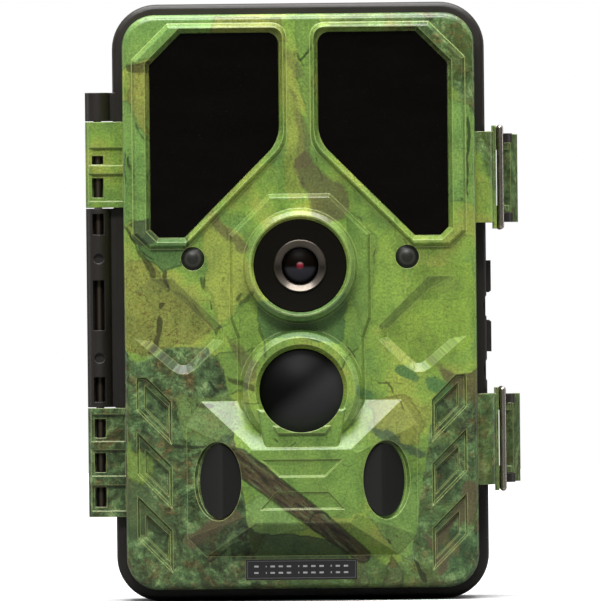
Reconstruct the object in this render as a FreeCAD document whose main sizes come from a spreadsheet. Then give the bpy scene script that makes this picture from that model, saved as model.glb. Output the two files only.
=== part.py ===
import FreeCAD, Part
import math
import os
import re
import Sketcher

# Trail camera.  X is to the right seen from the front, the front faces -Y, Z is up.
# The origin is the mouth of the tripod socket in the bottom of the rear case.  Sizes are in mm.

os.makedirs("parts", exist_ok=True)
doc = FreeCAD.newDocument("trail_camera")
Vector = FreeCAD.Vector
Rotation = FreeCAD.Rotation
Placement = FreeCAD.Placement

DIMENSIONS = [
    # rear case
    ("case_half", 43.65), ("case_high", 140), ("case_corner", 10.5), ("case_wall", 2.4),
    ("parting", -18), ("case_back", 22), ("ledge_half", 38.6), ("ledge_depth", 3),
    ("rim_round", 1.2), ("back_round", 4),
    # front cover
    ("cover_half", 41.15), ("cover_low", 2.9), ("cover_high", 137.2), ("cover_corner", 7.6),
    ("cover_back", -18.2), ("face", -36), ("face_wall", 5), ("cover_wall", 2.3),
    ("face_round", 1.5),
    # infrared windows and the raised frames around them
    ("window_inner", 4.6), ("window_outer", 34.8), ("window_top", 132.9), ("window_low", 85.2),
    ("window_slope", 112.1), ("window_front", -35.4), ("window_thick", 2),
    ("frame_inner", 2.7), ("frame_outer", 39.0), ("frame_top", 135.2), ("frame_low", 82.4),
    ("frame_slope", 108.85), ("frame_rise", 1.8), ("board_gap", 0.2),
    # lens
    ("lens_z", 78.3), ("lens_ring", 12.9), ("mask_radius", 10.9), ("barrel_radius", 6.1),
    ("lens_radius", 4.3), ("lens_rise", 6.8),
    # motion sensors
    ("pir_z", 49.2), ("pir_ring", 13.6), ("pir_radius", 9.8), ("pir_rise", 7.8),
    ("can_radius", 4.1), ("can_length", 4),
    ("bulge_half", 26.9), ("bulge_top", 46.8), ("bulge_low", 10.6), ("bulge_front", -45),
    ("plateau_half", 12.6), ("plateau_top", 35.6), ("plateau_low", 18.2),
    ("side_pir_x", 19.7), ("side_pir_z", 28.2), ("side_pir_tall", 9.2), ("side_pir_wide", 6.5),
    # status lamp and light sensor
    ("dome_x", 25.05), ("dome_z", 80.2), ("dome_radius", 2.75),
    # relief on the face
    ("chevron_inner", 30.3), ("chevron_outer", 38.6), ("chevron_top", 55.2),
    ("chevron_pitch", 15), ("chevron_cap", 52.7), ("relief", 1),
    ("label_half", 13), ("label_x", -0.4), ("label_z", 7.4), ("label_tall", 4.7),
    # hinge
    ("hinge_x", -47.2), ("hinge_y", -18), ("knuckle_radius", 2.9), ("pin_radius", 0.95),
    ("pin_gap", 0.07),
    # latches
    ("latch_x", 47.3), ("latch_y", -4), ("upper_latch_z", 98.65), ("lower_latch_z", 37.35),
    ("tab_half", 10.65), ("lip_half", 12.05), ("lip_x", 46.1), ("wire_radius", 0.8),
    ("bail_x", 47.1), ("bail_y", 1.5), ("bail_front", -24.5), ("arm_offset", 11.45),
    ("ear_radius", 2.9), ("ear_inner", 8.3), ("ear_outer", 10.4), ("stub_radius", 1.2),
    ("lever_half", 8.1), ("lever_wide", 10.4), ("lever_wall", 1.5), ("lever_length", 18.5),
    # batteries
    ("cell_radius", 7.1), ("cell_length", 49.5), ("cell_pitch", 15.4), ("cell_y", 8),
    ("bay_low", 15), ("bay_length", 55), ("bay_pitch", 57),
    # bottom sockets
    ("insert_radius", 4.5), ("thread_radius", 2.55), ("insert_depth", 10),
    ("jack_x", 24), ("jack_y", 4),
    # inner panel and electronics
    ("panel_half", 38.6), ("panel_low", 5.5), ("panel_high", 134.6), ("panel_back", -18.6),
    ("panel_front", -20.4), ("board_back", -23.6), ("board_front", -25.2),
    ("screen_half", 21.5), ("screen_low", 92), ("screen_high", 124),
    ("key_radius", 3.5), ("key_z", 66), ("key_pitch", 10), ("key_travel", 0.4),
    ("screw_x", 35.6), ("screw_low", 9.5), ("screw_mid", 70), ("screw_high", 131.2),
    ("card_x", -19.6), ("card_half", 12), ("card_low", 19), ("card_long", 31),
]

sheet = doc.addObject("Spreadsheet::Sheet", "dims")
for row, (alias, value) in enumerate(DIMENSIONS, 1):
    sheet.set(f"A{row}", alias)
    sheet.set(f"B{row}", str(value))
    sheet.setAlias(f"B{row}", alias)
doc.recompute()
ALIASES = {alias for alias, value in DIMENSIONS}

TURNED = {
    "x": Rotation(Vector(0, 1, 0), 90),
    "y": Rotation(Vector(1, 0, 0), -90),
    "z": Rotation(),
}
# Sketch planes: (sketch to space, the axis the plane is offset along).
FRONT = (Rotation(Vector(1, 0, 0), 90), "y")
TOP = (Rotation(), "z")
SIDE = (Rotation(Vector(1, 1, 1), 120), "x")
PARTS = []


# ---------------------------------------------------------------- helpers

def full(expression):
    """Point every alias in an expression at the dimension sheet."""
    return re.sub(r"[a-z_]+", lambda m: f"dims.{m.group()}" if m.group() in ALIASES else m.group(),
                  str(expression))


def size(expression):
    """The value of an expression, in mm."""
    return float(sheet.evalExpression(full(expression)))


def bind(item, **expressions):
    for name, expression in expressions.items():
        item.setExpression(name, full(expression))
    return item


def set_base(item, x, y, z):
    for letter, expression in zip("xyz", (x, y, z)):
        item.setExpression(f"Placement.Base.{letter}", full(expression))
    return item


def part(item):
    """Count an object as one sub-part of the camera."""
    PARTS.append(item)
    return item


def block(name, x, y, z):
    """A box between a low and a high expression on each axis."""
    item = doc.addObject("Part::Box", name)
    bind(item, Length=f"({x[1]}) - ({x[0]})", Width=f"({y[1]}) - ({y[0]})",
         Height=f"({z[1]}) - ({z[0]})")
    return set_base(item, x[0], y[0], z[0])


def place_round(item, axis, span, at):
    """Stand a round solid along an axis; at holds its other two coordinates in X, Y, Z order."""
    item.Placement = Placement(Vector(), TURNED[axis])
    item.setExpression("Height", full(f"({span[1]}) - ({span[0]})"))
    base = list(at)
    base.insert("xyz".index(axis), span[0])
    return set_base(item, *base)


def rod(name, axis, radius, span, at):
    item = doc.addObject("Part::Cylinder", name)
    bind(item, Radius=radius)
    return place_round(item, axis, span, at)


def cone(name, axis, radii, span, at):
    item = doc.addObject("Part::Cone", name)
    bind(item, Radius1=radii[0], Radius2=radii[1])
    return place_round(item, axis, span, at)


def ball(name, radius, at):
    item = doc.addObject("Part::Sphere", name)
    bind(item, Radius=radius)
    return set_base(item, *at)


def fuse(name, items):
    item = doc.addObject("Part::MultiFuse", name)
    item.Shapes = items
    item.Refine = True
    return item


def cut(name, base, tools):
    item = doc.addObject("Part::Cut", name)
    item.Base = base
    item.Tool = tools[0] if len(tools) == 1 else fuse(f"{name}_tools", tools)
    item.Refine = True
    return item


def common(name, first, second):
    item = doc.addObject("Part::Common", name)
    item.Base = first
    item.Tool = second
    return item


def mirrored(name, item):
    """The same solid on the other side of the centre plane."""
    copy = doc.addObject("Part::Mirroring", name)
    copy.Source = item
    copy.Normal = Vector(1, 0, 0)
    return copy


def both_sides(item):
    return [item, mirrored(f"{item.Name}_mirrored", item)]


def trace(sketch, corners):
    """Draw a closed outline whose every corner is bound to the dimension sheet."""
    points = [Vector(size(a), size(b), 0) for a, b in corners]
    count = len(points)
    for i in range(count):
        sketch.addGeometry(Part.LineSegment(points[i], points[(i + 1) % count]), False)
    for i in range(count):
        sketch.addConstraint(Sketcher.Constraint("Coincident", i, 2, (i + 1) % count, 1))
    for i, corner in enumerate(corners):
        for kind, expression in zip(("DistanceX", "DistanceY"), corner):
            number = sketch.addConstraint(Sketcher.Constraint(kind, i, 1, size(expression)))
            sketch.setExpression(f"Constraints[{number}]", full(expression))
    return sketch


def outline(name, corners, plane, offset):
    sketch = doc.addObject("Sketcher::SketchObject", name)
    sketch.Placement = Placement(Vector(), plane[0])
    sketch.setExpression(f"Placement.Base.{plane[1]}", full(offset))
    return trace(sketch, corners)


def prism(name, corners, offset, depth, plane=FRONT, taper=0, backward=False):
    """An outline extruded along its plane's normal; the front plane's normal is -Y."""
    item = doc.addObject("Part::Extrusion", name)
    item.Base = outline(f"{name}_outline", corners, plane, offset)
    item.DirMode = "Normal"
    item.Solid = True
    item.Reversed = backward
    item.TaperAngle = taper
    return bind(item, LengthFwd=depth)


def loft(name, sections):
    """A ruled solid between outlines, each given as (corners, y)."""
    item = doc.addObject("Part::Loft", name)
    item.Sections = [outline(f"{name}_section", corners, FRONT, y) for corners, y in sections]
    item.Solid = True
    item.Ruled = True
    return item


def rounded(name, base, radius, pick):
    """Round the edges that pick(edge) chooses."""
    doc.recompute()
    item = doc.addObject("Part::Fillet", name)
    item.Base = base
    value = size(radius)
    item.Edges = [(i, value, value) for i, edge in enumerate(base.Shape.Edges, 1) if pick(edge)]
    return item


def through_edge(edge, axis, slack=0.5):
    """Whether an edge runs mostly along an axis."""
    return abs(getattr(edge.tangentAt(edge.FirstParameter), axis)) > slack


def corner_edges(corners):
    """Pick the edges that leave the given front-view corners towards the front or back."""
    spots = [(size(x), size(z)) for x, z in corners]

    def pick(edge):
        ends = [(v.X, v.Z) for v in edge.Vertexes]
        near = any(abs(a - x) < 0.05 and abs(b - z) < 0.05 for a, b in ends for x, z in spots)
        return near and through_edge(edge, "y")
    return pick


def flat_edges(y):
    """Pick the edges that lie in the plane at y."""
    level = size(y)
    return lambda edge: all(abs(v.Y - level) < 1e-4 for v in edge.Vertexes) \
        and edge.BoundBox.YLength < 0.01


def body_plane(body, role):
    return [item for item in body.Origin.OriginFeatures if item.Role == role][0]


def body_sketch(body, name, role, corners, offset="0"):
    sketch = body.newObject("Sketcher::SketchObject", name)
    sketch.AttachmentSupport = [(body_plane(body, role), "")]
    sketch.MapMode = "FlatFace"
    sketch.setExpression("AttachmentOffset.Base.z", full(offset))
    return trace(sketch, corners)


def body_fillet(body, radius, pick):
    doc.recompute()
    tip = body.Tip
    names = [f"Edge{i}" for i, edge in enumerate(tip.Shape.Edges, 1) if pick(edge)]
    fillet = body.newObject("PartDesign::Fillet", f"{body.Name}_round")
    fillet.Base = (tip, names)
    return bind(fillet, Radius=radius)


def rectangle(half, low, high):
    return [(f"-({half})", low), (half, low), (half, high), (f"-({half})", high)]


def pan(name, half, low, high, corner, rim, floor, soften):
    """A solid rounded block from the rim plane to the floor plane, softened at the floor."""
    body = doc.addObject("PartDesign::Body", name)
    pad = body.newObject("PartDesign::Pad", f"{name}_pad")
    pad.Profile = body_sketch(body, f"{name}_sketch", "XZ_Plane", rectangle(half, low, high),
                              f"-({rim})")
    pad.Reversed = size(floor) > size(rim)
    bind(pad, Length=f"abs({floor} - ({rim}))")
    body_fillet(body, corner, lambda edge: through_edge(edge, "y", 0.99))
    body_fillet(body, soften, flat_edges(floor))
    return body


def plate(name, half, low, high, corner, y_low, y_high):
    """A flat rounded plate."""
    body = doc.addObject("PartDesign::Body", name)
    pad = body.newObject("PartDesign::Pad", f"{name}_pad")
    pad.Profile = body_sketch(body, f"{name}_sketch", "XZ_Plane", rectangle(half, low, high),
                              f"-({y_high})")
    bind(pad, Length=f"({y_high}) - ({y_low})")
    body_fillet(body, corner, lambda edge: through_edge(edge, "y", 0.99))
    return body


def turned(name, profile, at, rotation=Rotation(Vector(1, 0, 0), 90)):
    """A revolved body; profile holds (radius, height) and height runs towards the front."""
    body = doc.addObject("PartDesign::Body", name)
    turn = body.newObject("PartDesign::Revolution", f"{name}_turn")
    sketch = body_sketch(body, f"{name}_profile", "XZ_Plane", profile)
    turn.Profile = sketch
    turn.ReferenceAxis = (sketch, ["V_Axis"])
    turn.Angle = 360
    body.Placement = Placement(Vector(), rotation)
    return set_base(body, *at)


def domed(name, radius, rise, y_pole, y_base, at):
    """A short cylinder facing the front, capped with a spherical dome of the given rise."""
    core = rod(f"{name}_core", "y", radius, (y_pole, y_base), at)
    arc = f"(({radius}) ^ 2 + ({rise}) ^ 2) / (2 * ({rise}))"
    cap = ball(f"{name}_cap", arc, (at[0], f"({y_pole}) + {arc}", at[1]))
    return common(name, core, cap)


def placed_copies(name, shapes):
    """One node that groups separate identical solids."""
    item = doc.addObject("Part::Feature", name)
    item.Shape = Part.makeCompound(shapes)
    return item


# ---------------------------------------------------------------- rear case

def ring(name, half, low, high, corner, width, y_low, y_high):
    """A flat rectangular ring, measured to its outside."""
    outer = plate(f"{name}_outside", half, low, high, corner, y_low, y_high)
    inner = plate(f"{name}_inside", f"{half} - {width}", f"{low} + {width}", f"{high} - {width}",
                  f"{corner} - {width}", f"{y_low} - 1", f"{y_high} + 1")
    return cut(name, outer, [inner])


def knuckle(name, low, high, web_x, web_y):
    """A hinge barrel with the web that joins it to its half of the housing."""
    barrel = rod(f"{name}_barrel", "z", "knuckle_radius", (low, high), ("hinge_x", "hinge_y"))
    web = block(f"{name}_web", ("hinge_x", web_x), web_y, (low, high))
    return [barrel, web]


def knuckle_slot(name, low, high):
    """A window in a barrel that shows the hinge pin."""
    return block(name, ("hinge_x - 1.4", "hinge_x + 1.3"), ("hinge_y - 3", "hinge_y + 1.6"),
                 (low, high))


def knuckle_pocket(low, high):
    """A shallow recess round a cover barrel's window."""
    return block("cover_pocket", ("hinge_x - 2.45", "-cover_half - 0.2"), ("hinge_y - 3.5", "hinge_y - 1.9"),
                 (low, high))


CASE_KNUCKLES = [(112.75, 119.4), (45.65, 92.25)]
CASE_SLOTS = [(86.1, 91.0), (63.7, 75.4), (46.9, 52.7)]
CASE_DIMPLES = [80.5, 57.2]


def case_knuckles():
    solids = []
    for number, (low, high) in enumerate(CASE_KNUCKLES):
        solids += knuckle(f"case_knuckle_{number}", low, high, "-case_half + 1.5",
                          ("hinge_y + 0.1", "hinge_y + 2.8"))
    return solids


def latch_ears():
    solids = []
    for latch in ("upper_latch_z", "lower_latch_z"):
        for sign in "+-":
            low, high = sorted((f"{latch} {sign} ear_inner", f"{latch} {sign} ear_outer"), key=size)
            solids.append(rod("ear", "z", "ear_radius", (low, high), ("latch_x", "latch_y")))
            solids.append(block("ear_web", ("case_half - 1", "latch_x"),
                                ("latch_y - ear_radius", "latch_y + ear_radius"), (low, high)))
    return solids


def ear_holes():
    holes = []
    for latch in ("upper_latch_z", "lower_latch_z"):
        span = (f"{latch} - ear_outer + 0.7", f"{latch} + ear_outer - 0.7")
        holes.append(rod("ear_hole", "z", "stub_radius + 0.06", span, ("latch_x", "latch_y")))
    return holes


def grip_lugs():
    """Two side lugs with a scalloped gap, for a locking cable."""
    solids = []
    for low, high in ((71.7, 79.2), (57.8, 65.2)):
        solids.append(block("lug", ("case_half - 1.5", "case_half + 1.1"), (-15, 2), (low, high)))
    return solids


def tree_ribs():
    """Vertical ribs on the back with strap slots and teeth."""
    profile = [("case_back - 0.5", 25), ("case_back + 8", 34), ("case_back + 8", 108),
               ("case_back - 0.5", 117)]
    rib = prism("rib_blank", profile, 15, 7, plane=SIDE)
    tools = [block("strap_slot", (14, 23), ("case_back + 0.6", "case_back + 5.6"), (57, 85))]
    for number in range(12):
        height = 38 + 6 * number
        tooth = [("case_back + 6.8", height), ("case_back + 9", f"{height} - 2.2"),
                 ("case_back + 9", f"{height} + 2.2")]
        tools.append(prism("tooth", tooth, 14, 9, plane=SIDE))
    return both_sides(cut("rib", rib, tools))


def bottom_bosses():
    tripod = block("tripod_boss", (-8, 8), (-8, 8), (1, "insert_depth + 1.5"))
    jack = block("jack_boss", ("jack_x - 8", "jack_x + 8"), ("jack_y - 8", "jack_y + 8"), (1, 4.4))
    return [tripod, jack]


def bottom_holes():
    insert = rod("insert_bore", "z", "insert_radius", (-1, "insert_depth"), (0, 0))
    port = rod("jack_port", "z", 4, (-1, 6), ("jack_x", "jack_y"))
    recess = rod("jack_recess", "z", 6, (-1, 1.5), ("jack_x", "jack_y"))
    return [insert, port, recess]


def tray_posts():
    posts = []
    for x in (-35, 35):
        for z in (24, 118):
            posts.append(rod("post", "y", 3.2, (16.1, "case_back - 1"), (x, z)))
    return posts


def tray_post_holes():
    return [rod("post_hole", "y", 1.05, (15, 19), (x, z)) for x in (-35, 35) for z in (24, 118)]


def rear_case(gasket):
    shell = pan("case_shell", "case_half", "0", "case_high", "case_corner", "parting",
                "case_back", "back_round")
    body_fillet(shell, "rim_round", flat_edges("parting"))
    room = plate("case_room", "case_half - case_wall", "case_wall", "case_high - case_wall",
                 "case_corner - case_wall", "parting - 1", "case_back - case_wall")
    ledge = ring("ledge", "case_half - case_wall + 0.5", "case_wall - 0.5",
                 "case_high - case_wall + 0.5", "case_corner - case_wall + 0.5", 3.2,
                 "parting", "parting + ledge_depth")
    solids = [cut("case_open", shell, [room]), ledge] + case_knuckles() + latch_ears() + grip_lugs()
    solids += tree_ribs() + bottom_bosses() + tray_posts()
    tools = [gasket] + ear_holes() + bottom_holes() + tray_post_holes()
    tools.append(rod("pin_bore", "z", "pin_radius", (19, 118.6), ("hinge_x", "hinge_y")))
    tools += [knuckle_slot("case_slot", low, high) for low, high in CASE_SLOTS]
    tools += [rod("dimple", "y", 1.2, ("hinge_y - 3", "hinge_y - 1.9"), ("hinge_x", z))
              for z in CASE_DIMPLES]
    for z in (68.45, 53.5):
        tools.append(rod("scallop", "y", 4.4, (-19, 6), ("case_half + 3.6", z)))
    return part(cut("rear_case", fuse("case_solid", solids), tools))


def case_gasket():
    item = ring("case_gasket", "cover_half - 0.6", "cover_low + 0.6", "cover_high - 0.6",
                "cover_corner - 0.6", 1.1, "parting - 0.15", "parting + 1.2")
    return part(item)


def hinge_pin():
    return part(rod("hinge_pin", "z", "pin_radius", (19.9, 118.5), ("hinge_x", "hinge_y")))


def tripod_insert():
    profile = [("thread_radius", 0), ("insert_radius", 0), ("insert_radius", 3.6),
               ("insert_radius - 0.4", 4), ("insert_radius - 0.4", 5), ("insert_radius", 5.4),
               ("insert_radius", "insert_depth"), ("thread_radius", "insert_depth")]
    return part(turned("tripod_insert", profile, (0, 0, 0), Rotation()))


def dc_jack():
    shell = block("jack_shell", ("jack_x - 5", "jack_x + 5"), ("jack_y - 5", "jack_y + 5"),
                  (4.5, 12.4))
    bored = cut("jack_bored", shell,
                [rod("jack_bore", "z", 3, (4, 11), ("jack_x", "jack_y"))])
    return part(fuse("dc_jack", [bored, rod("jack_pin", "z", 1, (5, 11.5), ("jack_x", "jack_y"))]))


def jack_plug():
    profile = [(0, 0.3), (5.6, 0.3), (5.8, 0.5), (5.8, 1.4), (3.9, 1.4), (3.9, 4.2), (2.8, 4.2),
               (2.6, 7.5), (1.3, 7.5), (1.3, 4.6), (0, 4.6)]
    return part(turned("jack_plug", profile, ("jack_x", "jack_y", 0), Rotation()))


# ---------------------------------------------------------------- batteries

def column_centres():
    return [size("cell_pitch") * (number - 1.5) for number in range(4)]


def battery_tray():
    floor = block("tray_floor", (-31.4, 31.4), (6, 19), (13, 129))
    ends = [block("tray_end", (-31.4, 31.4), (1, 8), (low, low + 2)) for low in (13, 70, 127)]
    ears = []
    for low, high in ((-38, -31), (31, 38)):
        for z in (24, 118):
            ears.append(block("tray_ear", (low, high), (14, 16), (z - 4, z + 4)))
    tools = []
    for x in column_centres():
        for z in ("bay_low", "bay_low + bay_pitch"):
            tools.append(rod("bay", "z", "cell_radius + 0.2", (z, f"{z} + bay_length"),
                             (x, "cell_y")))
            tools.append(block("bay_mouth", (x - 7.3, x + 7.3), (0, "cell_y"),
                               (z, f"{z} + bay_length")))
    tools += [rod("tray_hole", "y", 1.3, (13, 17), (x, z)) for x in (-35, 35) for z in (24, 118)]
    return part(cut("battery_tray", fuse("tray_solid", [floor] + ends + ears), tools))


def in_each_bay(shape):
    """Copies of a shape drawn at X 0 in the lower bay, turned over in every other column."""
    centre = size("bay_low + bay_length / 2")
    turned_over = shape.copy()
    turned_over.rotate(Vector(0, size("cell_y"), centre), Vector(0, 1, 0), 180)
    copies = []
    for number, x in enumerate(column_centres()):
        for row in range(2):
            copy = (turned_over if number % 2 else shape).copy()
            copy.translate(Vector(x, 0, row * size("bay_pitch")))
            copies.append(copy)
    return copies


def battery_cells():
    base, y = size("bay_low") + 3.9, size("cell_y")
    length = size("cell_length")
    can = Part.makeCylinder(size("cell_radius"), length, Vector(0, y, base))
    can = can.makeFillet(0.8, can.Edges)
    nub = Part.makeCylinder(2.7, 1.2, Vector(0, y, base + length - 0.2))
    return part(placed_copies("battery_cells", in_each_bay(can.fuse(nub))))


def battery_springs():
    """Compression springs of eight-sided wire, one under every cell."""
    wire, radius, pitch, height = 0.38, 2.8, 1.05, 2.6
    corners = []
    for number in range(8):
        angle = math.radians(22.5 + 45 * number)
        corners.append(Vector(radius + wire * math.cos(angle), 0, wire * math.sin(angle)))
    helix = Part.Wire(Part.makeHelix(pitch, height, radius))
    spring = helix.makePipeShell([Part.makePolygon(corners + corners[:1])], True, True)
    spring.translate(Vector(0, size("cell_y"), size("bay_low") + 0.7))
    return part(placed_copies("battery_springs", in_each_bay(spring)))


def battery_contacts():
    y = size("cell_y")
    low = Part.makeBox(9, 8, 0.3, Vector(-4.5, y - 4, size("bay_low")))
    high = Part.makeBox(9, 8, 0.3, Vector(-4.5, y - 4, size("bay_low + bay_length") - 0.3))
    return part(placed_copies("battery_contacts", in_each_bay(low) + in_each_bay(high)))


def screws(name, spots, head_y, length):
    """Pan-head screws whose heads face the back of the cover, +Y at the head."""
    shapes = []
    for x, z in spots:
        head = Part.makeCylinder(2.2, 1, Vector(x, head_y - 1, z), Vector(0, 1, 0))
        slot = Part.makeBox(3.2, 0.6, 0.7, Vector(x - 1.6, head_y - 0.5, z - 0.35))
        cross = Part.makeBox(0.7, 0.6, 3.2, Vector(x - 0.35, head_y - 0.5, z - 1.6))
        shank = Part.makeCylinder(1, length, Vector(x, head_y - 0.9 - length, z), Vector(0, 1, 0))
        shapes.append(head.cut(slot).cut(cross).fuse(shank))
    return placed_copies(name, shapes)


def tray_screws():
    """Screws driven from the open front of the case into its posts."""
    shapes = []
    for x in (-35, 35):
        for z in (24, 118):
            head = Part.makeCylinder(2.4, 1.2, Vector(x, 12.8, z), Vector(0, 1, 0))
            slot = Part.makeBox(3.4, 0.6, 0.7, Vector(x - 1.7, 12.7, z - 0.35))
            cross = Part.makeBox(0.7, 0.6, 3.4, Vector(x - 0.35, 12.7, z - 1.7))
            shank = Part.makeCylinder(1, 4.6, Vector(x, 13.9, z), Vector(0, 1, 0))
            shapes.append(head.cut(slot).cut(cross).fuse(shank))
    return part(placed_copies("tray_screws", shapes))


def battery_leads():
    """Two supply wires from the tray, clipped along the case wall up to the hinge side."""
    shapes = []
    for x, y in ((-34.2, 8.5), (-36.0, 8.5)):
        run = [Vector(x, y, 70), Vector(x, y, 88), Vector(x - 2, y - 10, 92), Vector(x - 2, y - 20, 92)]
        wire = None
        for start, end in zip(run, run[1:]):
            piece = Part.makeCylinder(0.65, (end - start).Length, start, end - start)
            piece = piece.fuse(Part.makeSphere(0.65, end))
            wire = piece if wire is None else wire.fuse(piece)
        shapes.append(wire)
    return part(placed_copies("battery_leads", shapes))


# ---------------------------------------------------------------- front cover

def window_corners():
    return [("window_inner", "window_top"), (27.4, "window_top"),
            ("window_outer", "window_top - 7.4"), ("window_outer", "window_low + 1.9"),
            ("window_outer - 1.9", "window_low"), ("window_slope - window_low", "window_low"),
            ("window_inner", "window_slope - window_inner")]


def frame_corners():
    return [("frame_inner", "frame_top"), (30.6, "frame_top"),
            ("frame_outer", "frame_top - 8.4"), ("frame_outer", "frame_low + 3.6"),
            ("frame_outer - 3.8", "frame_low"), ("frame_slope - frame_low", "frame_low"),
            ("frame_inner", "frame_slope - frame_inner")]


def window_block(name, y, depth, taper=0):
    """A prism with the window's outline, towards the front from y."""
    corners = window_corners()
    blank = prism(f"{name}_blank", corners, y, depth, taper=taper)
    tight = rounded(f"{name}_tight", blank, 2.6, corner_edges(corners[:1]))
    return rounded(name, tight, 8.5, corner_edges(corners[6:]))


def window_frame():
    corners = frame_corners()
    blank = prism("frame_blank", corners, "face + 0.3", "frame_rise + 0.3", taper=-22)
    tight = rounded("frame_tight", blank, 3.6, corner_edges(corners[:1]))
    soft = rounded("frame_soft", tight, 8, corner_edges(corners[6:]))
    return rounded("frame", soft, 0.5, flat_edges("face - frame_rise"))


def window_opening():
    mouth = window_block("window_mouth", "window_front", "window_front - face + frame_rise + 0.3",
                         taper=24)
    hole = window_block("window_hole", "face + face_wall + 0.5", "face + face_wall + 0.5 - window_front")
    return [mouth, hole]


def spine():
    """The raised centre panel that carries the lens."""
    corners = [(-7.2, 95.2), (7.2, 95.2), (16.6, 85.8), (16.6, 66), (15, 61.5), (15, 40),
               (-15, 40), (-15, 61.5), (-16.6, 66), (-16.6, 85.8)]
    blank = prism("spine_blank", corners, "face + 0.3", 1.9, taper=-24)
    return rounded("spine", blank, 0.4, flat_edges("face - 1.6"))


def lens_turret():
    profile = [(0, -0.3), (13.7, -0.3), ("lens_ring", "lens_rise - 1"),
               ("lens_ring - 1", "lens_rise"), (0, "lens_rise")]
    return turned("lens_turret", profile, (0, "face", "lens_z"))


def pir_turret():
    profile = [(0, -0.3), (14.8, -0.3), ("pir_ring", "pir_rise - 1.3"),
               ("pir_ring - 1.2", "pir_rise"), (0, "pir_rise")]
    return turned("pir_turret", profile, (0, "face", "pir_z"))


def chin():
    """The neck that runs from the sensor ring down onto the bulge."""
    corners = [(-11, 45.5), (-8.8, 33.4), (8.8, 33.4), (11, 45.5)]
    blank = prism("chin_blank", corners, "face + 0.3", 9.0, taper=-4)
    collar = [(-9.6, 42.5), (-6.4, 37.6), (6.4, 37.6), (9.6, 42.5)]
    return [rounded("chin", blank, 0.8, flat_edges("face - 8.7")),
            prism("collar", collar, "face", 9.6, taper=-10)]


def bulge():
    base = [(-23.4, "bulge_top"), (23.4, "bulge_top"), ("bulge_half", 41), ("bulge_half", 15),
            (22.6, "bulge_low"), (-22.6, "bulge_low"), ("-bulge_half", 15), ("-bulge_half", 41)]
    crown = [(-11.6, "plateau_top"), (11.6, "plateau_top"), ("plateau_half", "plateau_top - 1.2"),
             ("plateau_half", "plateau_low + 2.2"), (11.2, "plateau_low"), (-11.2, "plateau_low"),
             ("-plateau_half", "plateau_low + 2.2"), ("-plateau_half", "plateau_top - 1.2")]
    block_solid = loft("bulge_blank", [(base, "face + 0.01"), (crown, "bulge_front")])
    return rounded("bulge", block_solid, 0.7, flat_edges("bulge_front"))


def bulge_cavity():
    base = rectangle(24, 15.5, 42)
    crown = rectangle(9.5, 21, 33)
    return loft("bulge_cavity", [(base, "face + face_wall + 0.1"), (crown, "bulge_front + 3.4")])


def plateau_marks():
    upper = [(-9.6, 33.2), (-5.4, 29), (5.4, 29), (9.6, 33.2)]
    lower = [(-10, 21.4), (-6.2, 25.6), (6.2, 25.6), (10, 21.4)]
    return [prism("upper_mark", upper, "bulge_front - 0.1", 0.6, taper=-30, backward=True),
            prism("lower_mark", lower, "bulge_front - 0.1", 0.6, taper=-30, backward=True)]


def facet_frame():
    """Rotation that points local Z out of the right side facet, local X up and local Y inward."""
    run = size("bulge_half - plateau_half")
    rise = size("face - bulge_front")
    outward = Vector(rise, -run, 0).normalize()
    return Rotation(Vector(0, 0, 1), outward.cross(Vector(0, 0, 1)), outward, "ZXY"), outward


def facet_solid(name, kind, depth_low, depth_high, **sizes):
    """A round or oval solid square to the right side facet, by depth below its surface."""
    rotation, outward = facet_frame()
    fraction = size("(bulge_half - side_pir_x) / (bulge_half - plateau_half)")
    surface = Vector(size("side_pir_x"), size("face - 0") - fraction * size("face - bulge_front"),
                     size("side_pir_z"))
    start = surface - outward * depth_high
    if kind == "oval":
        rim = doc.addObject("Part::Ellipse", f"{name}_rim")
        bind(rim, **sizes)
        item = doc.addObject("Part::Extrusion", name)
        item.Base = rim
        item.DirMode = "Custom"
        item.Dir = Vector(0, 0, 1)
        item.Solid = True
        item.LengthFwd = depth_high - depth_low
    else:
        item = doc.addObject("Part::Cylinder", name)
        bind(item, **sizes)
        item.Height = depth_high - depth_low
    item.Placement = Placement(start, rotation)
    return item


def side_pir_openings():
    mouth = facet_solid("side_mouth", "oval", -3, 1.4, MajorRadius="side_pir_tall",
                        MinorRadius="side_pir_wide")
    seat = facet_solid("side_seat", "oval", 1.2, 3.2, MajorRadius="side_pir_tall - 0.7",
                       MinorRadius="side_pir_wide - 0.7")
    bore = facet_solid("side_bore", "round", 3, 9, Radius="can_radius + 0.4")
    return both_sides(mouth) + both_sides(seat) + both_sides(bore)


def chevron(number):
    """One slanted recess of the right-hand stack: a shallow step with a deeper pocket."""
    outer_top = f"chevron_top - {number} * chevron_pitch"
    inner_top = f"{outer_top} - 8.4"
    inner_low = f"{outer_top} - 18.6"
    outer_low = f"{outer_top} - 10.2"
    rim = [("chevron_outer", outer_top), ("chevron_inner", inner_top),
           ("chevron_inner", inner_low), ("chevron_outer", outer_low)]
    if number == 0:
        rim[0] = ("chevron_outer", "chevron_cap")
        rim.insert(1, (36.1, "chevron_cap"))
    pocket = [("chevron_outer - 2", f"{outer_top} - 4.4"), ("chevron_inner + 0.8", f"{inner_top} - 1.2"),
              ("chevron_inner + 0.8", f"{inner_low} + 2.9"), ("chevron_outer - 2", f"{outer_low} + 0.2")]
    step = prism("chevron_step", rim, "face - 0.2", "relief + 0.2", taper=-25, backward=True)
    deep = prism("chevron_deep", pocket, "face + relief - 0.1", 1.3, taper=-12, backward=True)
    return both_sides(step) + both_sides(deep)


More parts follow.
